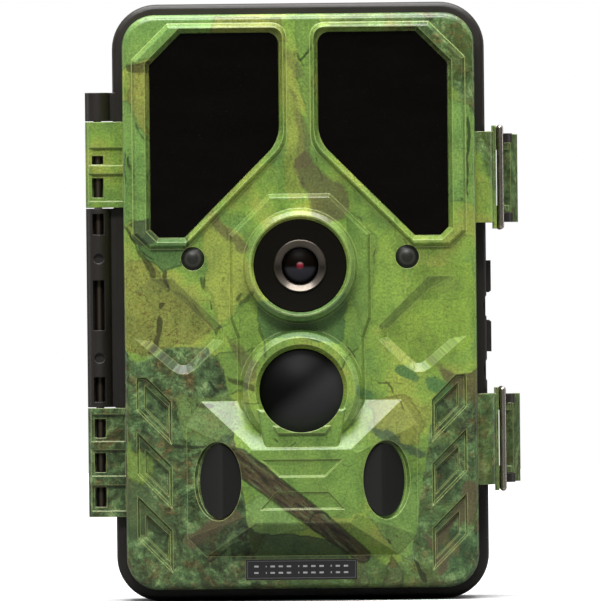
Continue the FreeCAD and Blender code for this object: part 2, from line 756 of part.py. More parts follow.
def diamond():
    """The large faceted recess beside the lens."""
    rim = [(29.8, 75.6), (35.4, 75.6), (38.7, 72.6), (38.7, 61.6), (30.2, 54.2), (28.5, 53.3),
           (26.5, 53.3), (24.8, 54.3), (18.1, 60.9), (18.1, 64.1)]
    floor = [(30.8, 73.3), (31.6, 73.3), (32.6, 71.6), (34.9, 60.9), (28.9, 55.8), (28.0, 55.3),
             (27.0, 55.3), (26.1, 55.8), (20.2, 61.5), (20.2, 63.3)]
    return both_sides(loft("diamond", [(rim, "face - 0.02"), (floor, "face + 1.4")]))


COVER_KNUCKLES = [(92.45, 112.55), (19.9, 45.45)]
COVER_SLOTS = [(102.6, 104.6), (94.8, 99.4), (38.5, 42.9), (30.4, 34.9), (22.3, 26.9)]
COVER_POCKETS = [(102.3, 106.5), (93.9, 100.4), (37.6, 44), (29.5, 35.7), (21.3, 27.4)]


def cover_knuckles():
    solids = []
    for number, (low, high) in enumerate(COVER_KNUCKLES):
        solids += knuckle(f"cover_knuckle_{number}", low, high, "-cover_half + 1.5",
                          ("hinge_y - 2.8", "hinge_y - 0.25"))
    return solids


def latch_tabs():
    """The side tabs and lips that the latch wires pull against."""
    solids = []
    for latch in ("upper_latch_z", "lower_latch_z"):
        span = (f"{latch} - tab_half", f"{latch} + tab_half")
        tab = block("tab_blank", ("cover_half - 1", 45.5), (-31.5, -18.5), span)
        solids.append(rounded("tab", tab, 2.6, lambda edge: through_edge(edge, "z", 0.99)
                              and edge.Vertexes[0].X > 45 and edge.Vertexes[0].Y < -30))
        solids.append(block("lip", (45.2, "lip_x"), (-28.8, -18.5),
                            (f"{latch} - lip_half", f"{latch} + lip_half")))
    return solids


def screw_spots():
    return [(sign * size("screw_x"), size(z)) for sign in (-1, 1)
            for z in ("screw_low", "screw_mid", "screw_high")]


def panel_bosses():
    return [rod("boss", "y", 3, ("face + face_wall - 0.5", "panel_front"), spot)
            for spot in screw_spots()]


def boss_holes():
    return [rod("boss_hole", "y", 1.05, (-30, "panel_front + 1"), spot) for spot in screw_spots()]


def lens_opening():
    seat = rod("mask_seat", "y", "mask_radius", ("face - lens_rise - 1", "face - lens_rise + 1.8"),
               (0, "lens_z"))
    bevel = cone("mask_bevel", "y", ("mask_radius + 0.6", "mask_radius"),
                 ("face - lens_rise - 0.01", "face - lens_rise + 0.8"), (0, "lens_z"))
    bore = rod("barrel_bore", "y", "barrel_radius + 0.05", (-44, "face + face_wall + 1"),
               (0, "lens_z"))
    return [seat, bevel, bore]


def pir_opening():
    bore = rod("pir_bore", "y", "pir_radius", (-46, "face + face_wall + 1"), (0, "pir_z"))
    bevel = cone("pir_bevel", "y", ("pir_radius + 1", "pir_radius"),
                 ("face - pir_rise - 0.01", "face - pir_rise + 1.4"), (0, "pir_z"))
    return [bore, bevel]


def dome_openings():
    hole = rod("dome_hole", "y", "dome_radius", (-37, "face + face_wall + 1"), ("dome_x", "dome_z"))
    return both_sides(hole)


def label_block(name, front, back):
    return block(name, ("label_x - label_half", "label_x + label_half"), (front, back),
                 ("label_z - label_tall / 2", "label_z + label_tall / 2"))


def front_cover():
    shell = pan("cover_shell", "cover_half", "cover_low", "cover_high", "cover_corner",
                "cover_back", "face", "face_round")
    room = plate("cover_room", "cover_half - cover_wall", "cover_low + cover_wall",
                 "cover_high - cover_wall", "cover_corner - cover_wall", "face + face_wall",
                 "cover_back + 1")
    solids = [cut("cover_open", shell, [room]), spine(), lens_turret(), pir_turret(), bulge()]
    solids += chin() + both_sides(window_frame())
    solids += cover_knuckles() + latch_tabs() + panel_bosses()
    tools = [bulge_cavity()] + plateau_marks() + side_pir_openings() + diamond()
    for tool in window_opening():
        tools += both_sides(tool)
    for number in range(3):
        tools += chevron(number)
    tools += lens_opening() + pir_opening() + dome_openings() + boss_holes()
    tools.append(label_block("label_recess", "face - 1", "face + 0.5"))
    tools.append(rod("cover_pin_bore", "z", "pin_radius + pin_gap", (19, 113), ("hinge_x", "hinge_y")))
    tools += [knuckle_slot("cover_slot", low, high) for low, high in COVER_SLOTS]
    tools += [knuckle_pocket(low, high) for low, high in COVER_POCKETS]
    return part(cut("front_cover", fuse("cover_solid", solids), tools))


def label_plate():
    return part(label_block("label_plate", "face - 0.15", "face + 0.5"))


def ir_windows():
    right = window_block("ir_window_right", "window_front + window_thick", "window_thick")
    return [part(right), part(mirrored("ir_window_left", right))]


# ---------------------------------------------------------------- optics and sensors

def ir_boards():
    corners = window_corners()
    right = prism("ir_board_right", corners, "face + face_wall + board_gap + 1.2", 1.2)
    return [part(right), part(mirrored("ir_board_left", right))]


def led_spots():
    """A grid of lamp positions, kept to those well inside the window's outline."""
    spots = []
    for column in range(5):
        for line in range(8):
            x = size("window_inner") + 3.6 + 5.7 * column
            z = size("window_top") - 3.9 - 5.8 * line
            if x + z > size("window_slope") + 5 and x + z < 156.5:
                spots.append((x, z))
    return spots


def ir_leds():
    board = size("face + face_wall + board_gap")
    shapes = []
    for x, z in led_spots():
        for side in (-1, 1):
            base = Vector(side * x, board - 0.3, z)
            flange = Part.makeCylinder(2.5, 0.3, base, Vector(0, 1, 0))
            front = Part.makeBox(5, 2.1, 5, Vector(side * x - 2.5, base.y - 2.1, z - 2.5))
            shapes.append(flange.fuse(Part.makeSphere(2.1, base).common(front)))
    return part(placed_copies("ir_leds", shapes))


def lens_mask():
    profile = [("barrel_radius + 0.05", 5), ("mask_radius - 0.02", 5), ("mask_radius - 0.02", 5.9),
               ("mask_radius - 0.3", 6.1), ("barrel_radius + 0.05", 5.7)]
    return part(turned("lens_mask", profile, (0, "face", "lens_z")))


def lens_barrel():
    profile = [("lens_radius - 1.6", -7.2), ("barrel_radius", -7.2), ("barrel_radius", 6.2),
               ("barrel_radius - 0.2", 6.4), ("lens_radius + 0.3", 5.3), ("lens_radius + 0.3", 4.9),
               ("lens_radius + 0.1", 4.9), ("lens_radius + 0.1", 2.6), ("lens_radius - 1.2", 2.6)]
    return part(turned("lens_barrel", profile, (0, "face", "lens_z")))


def lens_glass():
    front = domed("lens_front_element", "lens_radius", 1.3, "face - 5.9", "face - 2.7", (0, "lens_z"))
    return part(front)


def lens_holder():
    shell = block("holder_shell", (-8, 8), ("face + face_wall + 0.1", -26.7), ("lens_z - 8", "lens_z + 8"))
    bore = rod("holder_bore", "y", "barrel_radius + 0.05", (-32, -28.7), (0, "lens_z"))
    slot = block("filter_slot", (-4.2, 9), (-28.75, -26), ("lens_z - 4", "lens_z + 4"))
    return part(cut("lens_holder", shell, [bore, slot]))


def ir_cut_filter():
    return part(block("ir_cut_filter", (-3.8, 3.8), (-28.4, -27.9), ("lens_z - 3.8", "lens_z + 3.8")))


def filter_coil():
    return part(rod("filter_coil", "z", 1.8, ("lens_z - 5", "lens_z + 5"), (12, -28.6)))


def image_board():
    return part(block("image_board", (-10, 14), (-26.6, -25.6), ("lens_z - 9.5", "lens_z + 9.5")))


def image_sensor():
    return part(block("image_sensor", (-3.4, 3.4), (-27.3, -26.65), ("lens_z - 3", "lens_z + 3")))


def pir_lens_centre():
    outer = domed("pir_outer", "pir_radius - 0.02", 3.2, "face - pir_rise - 1.4", "face - 3",
                  (0, "pir_z"))
    inner = domed("pir_inner", "pir_radius - 1.2", 2.8, "face - pir_rise - 0.2", "face - 2",
                  (0, "pir_z"))
    return part(cut("pir_lens_centre", outer, [inner]))


def pir_lens_side():
    """An oval lens with two shallow facets that meet in an upright ridge."""
    rotation, outward = facet_frame()
    oval = facet_solid("side_lens_oval", "oval", -1, 3.1, MajorRadius="side_pir_tall - 0.72",
                       MinorRadius="side_pir_wide - 0.72")
    ridge = facet_solid("side_lens_ridge", "round", -2, 4, Radius=1)
    wedge = doc.addObject("Part::Feature", "side_lens_wedge")
    along = Vector(0, 0, 1).cross(outward)
    middle = ridge.Placement.Base + outward * 4
    doc.removeObject(ridge.Name)
    section = [(-8, -3.1), (8, -3.1), (8, -1.6), (0, -0.5), (-8, -1.6)]
    points = [middle + along * a + outward * b + Vector(0, 0, -12) for a, b in section]
    face = Part.Face(Part.makePolygon(points + points[:1]))
    wedge.Shape = face.extrude(Vector(0, 0, 24))
    right = common("pir_lens_right", oval, wedge)
    return [part(right), part(mirrored("pir_lens_left", right))]


def pir_sensors():
    """Three metal-can sensors: one behind each lens."""
    rotation, outward = facet_frame()
    can = rod("centre_can", "y", "can_radius", ("face - 1", "face + can_length - 1"), (0, "pir_z"))
    rim = rod("centre_rim", "y", "can_radius + 0.5", ("face + can_length - 1.6", "face + can_length - 1"),
              (0, "pir_z"))
    side = facet_solid("side_can", "round", 3.6, 7.6, Radius="can_radius")
    group = doc.addObject("Part::Compound", "pir_sensors")
    group.Links = [fuse("centre_sensor", [can, rim])] + both_sides(side)
    return part(group)


def pir_boards():
    centre = rod("centre_board", "y", 8.6, ("face + can_length - 1", "face + can_length + 0.2"),
                 (0, "pir_z"))
    side = facet_solid("side_board", "round", 7.6, 8.8, Radius="can_radius + 0.3")
    group = doc.addObject("Part::Compound", "pir_boards")
    group.Links = [centre] + both_sides(side)
    return part(group)


def signal_domes():
    lamp = domed("dome_right", "dome_radius - 0.02", 1.2, "face - 1", "face + 3", ("dome_x", "dome_z"))
    lamp.Label = "light_sensor_dome"
    other = mirrored("status_lamp_dome", lamp)
    return [part(lamp), part(other)]


# ---------------------------------------------------------------- inner panel and electronics

KEYS = [("key_up", 0, 1), ("key_down", 0, -1), ("key_left", -1, 0), ("key_right", 1, 0),
        ("key_ok", 0, 0), ("key_menu", 2.3, 0)]


def key_spot(column, line):
    return (f"{column} * key_pitch", f"key_z + {line} * key_pitch")


def keys():
    for name, column, line in KEYS:
        x, z = key_spot(column, line)
        cap = [(0, 0), ("key_radius + 0.8", 0), ("key_radius + 0.8", 1), ("key_radius", 1),
               ("key_radius", 3.7), ("key_radius - 0.4", 4.1), (0, 4.1)]
        part(turned(name, cap, (x, "panel_front - 1.4", z), Rotation(Vector(1, 0, 0), -90)))


def tact_switches():
    shapes = []
    for name, column, line in KEYS:
        x, z = (size(value) for value in key_spot(column, line))
        base = Part.makeBox(6, 0.9, 6, Vector(x - 3, size("board_back"), z - 3))
        button = Part.makeCylinder(1.7, 0.4, Vector(x, size("board_back") + 0.8, z), Vector(0, 1, 0))
        shapes.append(base.fuse(button))
    return part(placed_copies("tact_switches", shapes))


def inner_panel():
    blank = plate("panel_blank", "panel_half", "panel_low", "panel_high", 5.1, "panel_front", "panel_back")
    through = ("panel_front - 1", "panel_back + 1")
    tools = [block("screen_hole", ("-screen_half", "screen_half"), through, ("screen_low", "screen_high")),
             block("switch_hole", (-6, 6), through, (42, 46)),
             block("port_hole", (-36, 6), through, (8, 22))]
    for name, column, line in KEYS:
        tools.append(rod("key_hole", "y", "key_radius + 0.08", through, key_spot(column, line)))
    for spot in screw_spots():
        tools.append(rod("screw_hole", "y", 1.3, through, spot))
        tools.append(rod("screw_head_seat", "y", 2.4, ("panel_back - 1.1", "panel_back + 1"), spot))
    for column in range(-2, 3):
        for line in range(-2, 3):
            if column * column + line * line < 7:
                tools.append(rod("grille", "y", 0.8, through, (22 + 3 * column, 30 + 3 * line)))
    return part(cut("inner_panel", blank, tools))


def panel_screws():
    return part(screws("panel_screws", screw_spots(), size("panel_back") - 0.1, 8))


def main_board():
    return part(block("main_board", (-31, 31), ("board_front", "board_back"), (13, 127)))


def lcd_screen():
    return part(block("lcd_screen", (-25, 25), ("board_back", "panel_front - 0.1"), (88, 126.5)))


def lcd_window():
    return part(block("lcd_window", ("-screen_half", "screen_half"), ("panel_back - 1", "panel_back"),
                      ("screen_low", "screen_high")))


def mode_switch():
    knob = block("knob", (-2, 2), (-21, "panel_back + 1"), (42.15, 45.85))
    foot = block("knob_foot", (-3.6, 3.6), (-21.5, -20.6), (41, 47))
    return part(fuse("mode_switch", [knob, foot]))


def mode_switch_body():
    return part(block("mode_switch_body", (-6.5, 6.5), ("board_back", -21.6), (40, 48)))


def sd_slot():
    shell = block("slot_shell", ("card_x - card_half - 1", "card_x + card_half + 1"), ("board_back", -20.9),
                  ("card_low + 4", "card_low + card_long + 1"))
    mouth = block("slot_mouth", ("card_x - card_half - 0.1", "card_x + card_half + 0.1"),
                  ("board_back + 0.2", -21.15), ("card_low + 3", "card_low + card_long + 0.2"))
    return part(cut("sd_slot", shell, [mouth]))


def sd_card():
    corners = [("card_x - card_half", "card_low"), ("card_x + card_half", "card_low"),
               ("card_x + card_half", "card_low + card_long"),
               ("card_x - card_half + 4", "card_low + card_long"),
               ("card_x - card_half", "card_low + card_long - 4")]
    return part(prism("sd_card", corners, -21.2, 2.1))


def usb_socket():
    shell = block("usb_shell", (-4, 4), ("board_back", -20.6), (14, 21))
    mouth = block("usb_mouth", (-3.4, 3.4), ("board_back + 0.5", -21.1), (13, 19))
    tongue = block("usb_tongue", (-2.4, 2.4), (-22.5, -22), (15, 19.5))
    return part(fuse("usb_socket", [cut("usb_open", shell, [mouth]), tongue]))


def speaker():
    profile = [(0, 0), (9, 0), (9, 1.2), (8.6, 1.2), (8.6, 2.6), (7.6, 2.6), (4.2, 1.6), (0, 2)]
    return part(turned("speaker", profile, (22, "board_back + 0.2", 30), Rotation(Vector(1, 0, 0), -90)))


def microphone():
    return part(rod("microphone", "y", 2.2, ("board_back", "board_back + 2.2"), (26, 54)))


# ---------------------------------------------------------------- latches

def latch_lever(name, latch):
    """A plastic lever with two side cheeks, stub axles at its front and a wide grip."""
    cheek = [("latch_x - 2", "latch_y"), ("latch_x - 1.9", "latch_y + 7.5"),
             ("latch_x + 0.8", "latch_y + lever_length - 1"), ("latch_x + 2.5", "latch_y + lever_length"),
             ("latch_x + 2.5", "latch_y")]
    solids = []
    for sign in (-1, 1):
        low, high = sorted((f"{latch} + {sign} * (lever_half - lever_wall)",
                            f"{latch} + {sign} * lever_half"), key=size)
        solids.append(prism(f"{name}_cheek", cheek, low, "lever_wall", plane=TOP))
        solids.append(rod(f"{name}_barrel", "z", 2.5, (low, high), ("latch_x", "latch_y")))
    solids.append(block(f"{name}_plate", ("latch_x + 0.8", "latch_x + 2.5"),
                        ("latch_y - 1.5", "latch_y + lever_length"),
                        (f"{latch} - lever_half", f"{latch} + lever_half")))
    solids.append(block(f"{name}_back", ("latch_x + 0.8", "latch_x + 2.5"),
                        ("latch_y + 8.5", "latch_y + lever_length"),
                        (f"{latch} - lever_wide", f"{latch} + lever_wide")))
    grip = [("latch_x + 0.8", "latch_y + lever_length - 0.5"), ("latch_x + 3", "latch_y + lever_length + 3.4"),
            ("latch_x + 4.4", "latch_y + lever_length + 3"), ("latch_x + 2.5", "latch_y + lever_length - 0.5")]
    solids.append(prism(f"{name}_grip", grip, f"{latch} - lever_wide", "2 * lever_wide", plane=TOP))
    solids.append(rod(f"{name}_stub", "z", "stub_radius", (f"{latch} - ear_outer + 0.9", f"{latch} - lever_half + 0.5"),
                      ("latch_x", "latch_y")))
    solids.append(rod(f"{name}_stub", "z", "stub_radius", (f"{latch} + lever_half - 0.5", f"{latch} + ear_outer - 0.9"),
                      ("latch_x", "latch_y")))
    hole = rod(f"{name}_hole", "z", "wire_radius + 0.07", (f"{latch} - lever_half - 1", f"{latch} + lever_half + 1"),
               ("bail_x", "bail_y"))
    return part(cut(name, fuse(f"{name}_solid", solids), [hole]))


def latch_bail(name, latch):
    """A bent steel wire loop that joins the lever to the cover's lip."""
    solids = [rod(f"{name}_bar", "z", "wire_radius", (f"{latch} - arm_offset", f"{latch} + arm_offset"),
                  ("bail_x", "bail_front"))]
    for sign in ("-", "+"):
        height = f"{latch} {sign} arm_offset"
        solids.append(rod(f"{name}_arm", "y", "wire_radius", ("bail_front", "bail_y"), ("bail_x", height)))
        for y in ("bail_front", "bail_y"):
            solids.append(ball(f"{name}_bend", "wire_radius", ("bail_x", y, height)))
        low, high = sorted((height, f"{latch} {sign} (lever_half - 1.2)"), key=size)
        solids.append(rod(f"{name}_foot", "z", "wire_radius", (low, high), ("bail_x", "bail_y")))
    return part(fuse(name, solids))


# ---------------------------------------------------------------- build and export

gasket = case_gasket()
rear_case(gasket)
hinge_pin()
tripod_insert()
dc_jack()
jack_plug()
battery_tray()
battery_cells()
battery_springs()
battery_contacts()
tray_screws()
battery_leads()
front_cover()
label_plate()
ir_windows()
ir_boards()
ir_leds()
lens_mask()
lens_barrel()
lens_glass()
lens_holder()
ir_cut_filter()
filter_coil()
image_board()
image_sensor()
pir_lens_centre()
pir_lens_side()
pir_sensors()
pir_boards()
signal_domes()
keys()
tact_switches()
inner_panel()
panel_screws()
main_board()
lcd_screen()
lcd_window()
mode_switch()
mode_switch_body()
sd_slot()
sd_card()
usb_socket()
speaker()
microphone()
latch_lever("latch_lever_upper", "upper_latch_z")
latch_lever("latch_lever_lower", "lower_latch_z")
latch_bail("latch_bail_upper", "upper_latch_z")
latch_bail("latch_bail_lower", "lower_latch_z")

doc.recompute()
faults = [item.Label for item in doc.Objects
          if any(word in state for state in item.State for word in ("Invalid", "Error"))]
faults += [item.Label for item in PARTS if item.Shape.isNull() or not item.Shape.isValid()]
if faults:
    raise RuntimeError(f"objects with faults: {faults}")
for item in PARTS:
    item.Shape.exportStep(os.path.join("parts", f"{item.Label}.step"))
print(len(PARTS), "parts written")
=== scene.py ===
"""Looks of the trail camera: materials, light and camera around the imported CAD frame."""
import math

import bpy
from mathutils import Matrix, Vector


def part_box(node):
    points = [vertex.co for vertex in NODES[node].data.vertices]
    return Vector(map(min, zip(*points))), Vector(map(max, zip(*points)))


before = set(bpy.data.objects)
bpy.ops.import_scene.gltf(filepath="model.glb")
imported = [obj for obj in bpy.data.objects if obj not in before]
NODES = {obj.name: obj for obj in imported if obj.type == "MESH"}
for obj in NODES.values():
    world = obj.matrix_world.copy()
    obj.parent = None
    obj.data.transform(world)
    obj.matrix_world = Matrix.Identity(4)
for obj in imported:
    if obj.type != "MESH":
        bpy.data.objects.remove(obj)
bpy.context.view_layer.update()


# ---------------------------------------------------------------- node helpers

class Graph:
    """A material under construction; sockets or plain values go into every input."""

    def __init__(self, name):
        self.material = bpy.data.materials.new(name)
        self.material.use_nodes = True
        self.tree = self.material.node_tree
        self.surface = self.tree.nodes["Principled BSDF"]
        self.object_point = None

    def add(self, kind, inputs=None, **settings):
        node = self.tree.nodes.new(kind)
        for key, value in settings.items():
            setattr(node, key, value)
        for key, value in (inputs or {}).items():
            self.feed(node.inputs[key], value)
        return node

    def feed(self, socket, value):
        if isinstance(value, bpy.types.NodeSocket):
            self.tree.links.new(value, socket)
        elif value is not None:
            if socket.type == "RGBA" and len(value) == 3:
                value = (*value, 1)
            socket.default_value = value

    def point(self):
        """Position in the shared frame in millimetres, carried along with the part."""
        if self.object_point is None:
            coords = self.add("ShaderNodeTexCoord")
            scaled = self.add("ShaderNodeVectorMath", {0: coords.outputs["Object"], "Scale": 1000},
                              operation="SCALE")
            self.object_point = scaled.outputs[0]
        return self.object_point

    def math(self, operation, a, b=None, c=None, clamp=False):
        inputs = {0: a}
        if b is not None:
            inputs[1] = b
        if c is not None:
            inputs[2] = c
        return self.add("ShaderNodeMath", inputs, operation=operation, use_clamp=clamp).outputs[0]

    def vector(self, operation, a, b=None, scale=None):
        inputs = {0: a}
        if b is not None:
            inputs[1] = b
        if scale is not None:
            inputs["Scale"] = scale
        node = self.add("ShaderNodeVectorMath", inputs, operation=operation)
        return node.outputs["Value" if operation in ("DOT_PRODUCT", "LENGTH", "DISTANCE") else "Vector"]

    def split(self, vector):
        return self.add("ShaderNodeSeparateXYZ", {0: vector}).outputs

    def join(self, x, y, z=0.0):
        return self.add("ShaderNodeCombineXYZ", {0: x, 1: y, 2: z}).outputs[0]

    def step(self, value, low, high):
        """Smoothly 0 to 1 as value goes from low to high."""
        node = self.add("ShaderNodeMapRange", {"Value": value, "From Min": low, "From Max": high},
                        interpolation_type="SMOOTHSTEP")
        return node.outputs["Result"]

    def noise(self, vector, size, detail=3.0, rough=0.55, warp=0.0, colour=False):
        """Noise whose features are about size millimetres across."""
        node = self.add("ShaderNodeTexNoise", {"Vector": vector, "Scale": 1 / size, "Detail": detail,
                                               "Roughness": rough, "Distortion": warp})
        return node.outputs["Color" if colour else "Fac"]

    def mix(self, factor, a, b, blend="MIX"):
        node = self.add("ShaderNodeMix", data_type="RGBA", blend_type=blend, clamp_factor=True)
        self.feed(node.inputs[0], factor)
        self.feed(node.inputs[6], a)
        self.feed(node.inputs[7], b)
        return node.outputs[2]

    def ramp(self, factor, stops, interpolation="LINEAR"):
        node = self.add("ShaderNodeValToRGB", {0: factor})
        node.color_ramp.interpolation = interpolation
        elements = node.color_ramp.elements
        while len(elements) < len(stops):
            elements.new(0.5)
        for element, (position, colour) in zip(elements, stops):
            element.position = position
            element.color = (*colour, 1)
        return node.outputs[0]

    def bump(self, height, distance, strength=1.0, normal=None):
        node = self.add("ShaderNodeBump", {"Height": height, "Distance": distance / 1000,
                                           "Strength": strength, "Normal": normal})
        return node.outputs[0]

    def edge_softness(self, radius):
        """A bevelled normal, and how sharply the surface turns there."""
        bevel = self.add("ShaderNodeBevel", {"Radius": radius / 1000}, samples=6).outputs[0]
        true = self.add("ShaderNodeNewGeometry").outputs["Normal"]
        turn = self.math("SUBTRACT", 1.0, self.vector("DOT_PRODUCT", bevel, true))
        return bevel, turn

    def finish(self, **inputs):
        for key, value in inputs.items():
            self.feed(self.surface.inputs[key.replace("_", " ")], value)
        return self.material


# ---------------------------------------------------------------- camouflage print

def tint(red, green, blue):
    """Linear colour from 8-bit display values."""
    return tuple((level / 255) ** 2.2 for level in (red, green, blue))


YELLOW_GREEN = tint(148, 162, 78)
FRESH_GREEN = tint(130, 162, 74)
LEAF_GREEN = tint(114, 146, 72)
BLUE_GREEN = tint(112, 150, 80)
DRY_OLIVE = tint(134, 142, 72)
OLIVE = tint(108, 112, 62)
TEAL = tint(82, 118, 70)
SLATE = tint(66, 84, 62)
MOSS_DARK = tint(48, 58, 38)
MOSS_LIGHT = tint(112, 144, 84)
RUST = tint(104, 76, 48)
BARK = tint(92, 84, 62)
BARK_DARK = tint(50, 46, 30)
INK = tint(38, 44, 26)

# Leaf areas of the print: corners in the front view, anticlockwise, in millimetres; the colour;
# how strongly the dark outline shows; how much dry speckle lies on it.
AREAS = [
    ([(-43, 125), (-36, 127), (-19.5, 132), (-19.5, 138), (-43, 138)], BLUE_GREEN, 0.5, 0.0),
    ([(-19.5, 131), (-3, 131), (-4, 138), (-19.5, 138)], DRY_OLIVE, 0.7, 0.3),
    ([(-40, 117), (-38, 111.5), (-35, 108), (-34, 127), (-39.5, 126.5)], DRY_OLIVE, 0.5, 0.8),
    ([(-43, 88), (-34.5, 88), (-35, 107.5), (-39.5, 117), (-43, 119)], BLUE_GREEN, 0.6, 0.0),
    ([(-4.5, 112), (-2.5, 94), (1, 94), (0, 125), (-4, 130)], YELLOW_GREEN, 0.0, 0.2),
    ([(1.5, 108), (4.5, 108), (5, 138), (-2, 138), (0, 126)], LEAF_GREEN, 0.4, 0.0),
    ([(8.5, 103), (14, 95.5), (15, 96.5), (10, 103.5)], tint(176, 196, 84), 0.6, 0.0),
    ([(-22.5, 75), (-19.5, 65), (-12.5, 71), (-12.5, 84.5), (-22, 90.5)], YELLOW_GREEN, 0.2, 0.0),
    ([(-43, 58.5), (-26.5, 58.5), (-20, 66), (-20, 74), (-25.5, 79), (-35, 79), (-43, 88)],
     DRY_OLIVE, 0.3, 1.0),
    ([(-35, 78.5), (-31.5, 76), (-27, 78.5), (-25, 86), (-33.5, 87.5), (-38, 83.5)], TEAL, 0.8, 0.0),
    ([(-37, 82.5), (-32, 84), (-33, 90.5), (-40.5, 87.5)], SLATE, 0.3, 0.4),
    ([(-17.5, 61.5), (-13.5, 56.5), (-8, 59.5), (-6.5, 66), (-11, 71.5), (-19, 65)],
     FRESH_GREEN, 0.5, 0.0),
    ([(-9, 61), (9, 61), (12, 70), (-10, 70)], TEAL, 0.0, 0.0),
    ([(11, 84), (11, 61), (17, 65), (17, 85), (10, 92)], LEAF_GREEN, 0.3, 0.1),
    ([(16.5, 65), (19.5, 61.5), (25, 70), (22.5, 88.5), (17, 85)], FRESH_GREEN, 0.3, 0.0),
    ([(20, 60), (29.5, 54), (42, 60), (40, 79), (28, 79)], tint(126, 158, 68), 0.0, 0.25),
    ([(34.5, 94), (43, 92.5), (43, 114), (34, 118)], BLUE_GREEN, 0.5, 0.1),
    ([(-23, 53), (-19.5, 48.5), (-12, 50), (-12, 59.5), (-24, 58)], LEAF_GREEN, 0.8, 0.1),
    ([(15.5, 47.5), (18.5, 41), (23, 36.5), (27.5, 36), (28, 41), (25, 48)], DRY_OLIVE, 0.5, 0.4),
    ([(-13.5, 36), (-12.5, 20), (13.5, 20), (13.5, 35), (9.5, 41), (-8.5, 41)],
     tint(112, 148, 72), 0.0, 0.1),
    ([(-17.5, 22), (-15, 16), (-8.5, 14), (2, 17), (-9.5, 25)], tint(122, 156, 88), 0.5, 0.0),
    ([(13.5, 20), (18.5, 14), (23, 9.5), (30, 9.5), (31, 30), (26, 30)], tint(120, 156, 84), 0.5, 0.0),
    ([(31, 22), (43, 23), (43, 37.5), (29.5, 35)], TEAL, 0.5, 0.3),
    ([(30, 37.5), (33, 39), (36, 47), (34.5, 51), (29.5, 48)], TEAL, 0.8, 0.1),
    ([(35, 47), (36.5, 37.5), (43, 36), (43, 53), (36, 53)], BARK, 0.5, 0.8),
    ([(31, 9), (33, 1), (43, 1), (43, 19.5)], tint(88, 134, 84), 0.6, 0.4),
    ([(-12, 9), (11, 9), (11, 14), (-8, 15.5)], SLATE, 0.8, 0.0),
    ([(-18, 11), (-12, 9), (-8, 15.5), (-16, 17)], MOSS_DARK, 0.4, 0.3),
    ([(11, 1), (15.5, 1), (15, 10.5), (12, 12.5)], OLIVE, 0.9, 0.4),
    ([(18.5, 1), (24.5, 1), (22.5, 7), (20, 10.5)], OLIVE, 0.9, 0.4),
    ([(-42, 30), (-36.5, 28.5), (-36.5, 33), (-42, 38)], FRESH_GREEN, 0.7, 0.0),
    ([(-42, 16), (-31, 12), (-30, 18.5), (-35.5, 28), (-42, 30)], SLATE, 0.3, 0.3),
    ([(-29.5, 48), (-28, 39.5), (-21.5, 37.5), (-14, 41), (-16, 49)], MOSS_LIGHT, 0.2, 1.0),
]

# How many of the areas, counted from the end, also show through the moss.
OVER_MOSS = 3

# Moss: how ragged its edge is, its level along the foot, and how much higher it stands at the far
# left and the far right; the ledge where the moss along the foot stops.
MOSS_RAGGED, MOSS_FOOT, MOSS_LEFT, MOSS_RIGHT = 17.0, 9.0, 50.0, 36.0
MOSS_LEDGE = 57.8

# How far the outlines of the print bend, and how far their edges shiver.
BEND, SHIVER = 7.0, 1.7

# Whatever is less than WRAP_DEPTH in front of the socket's axis counts as side, where the print
# carries on round the edge; MIDDLE_HEIGHT parts what goes over the top from what goes under.
WRAP_DEPTH, MIDDLE_HEIGHT = 36.0, 70.0

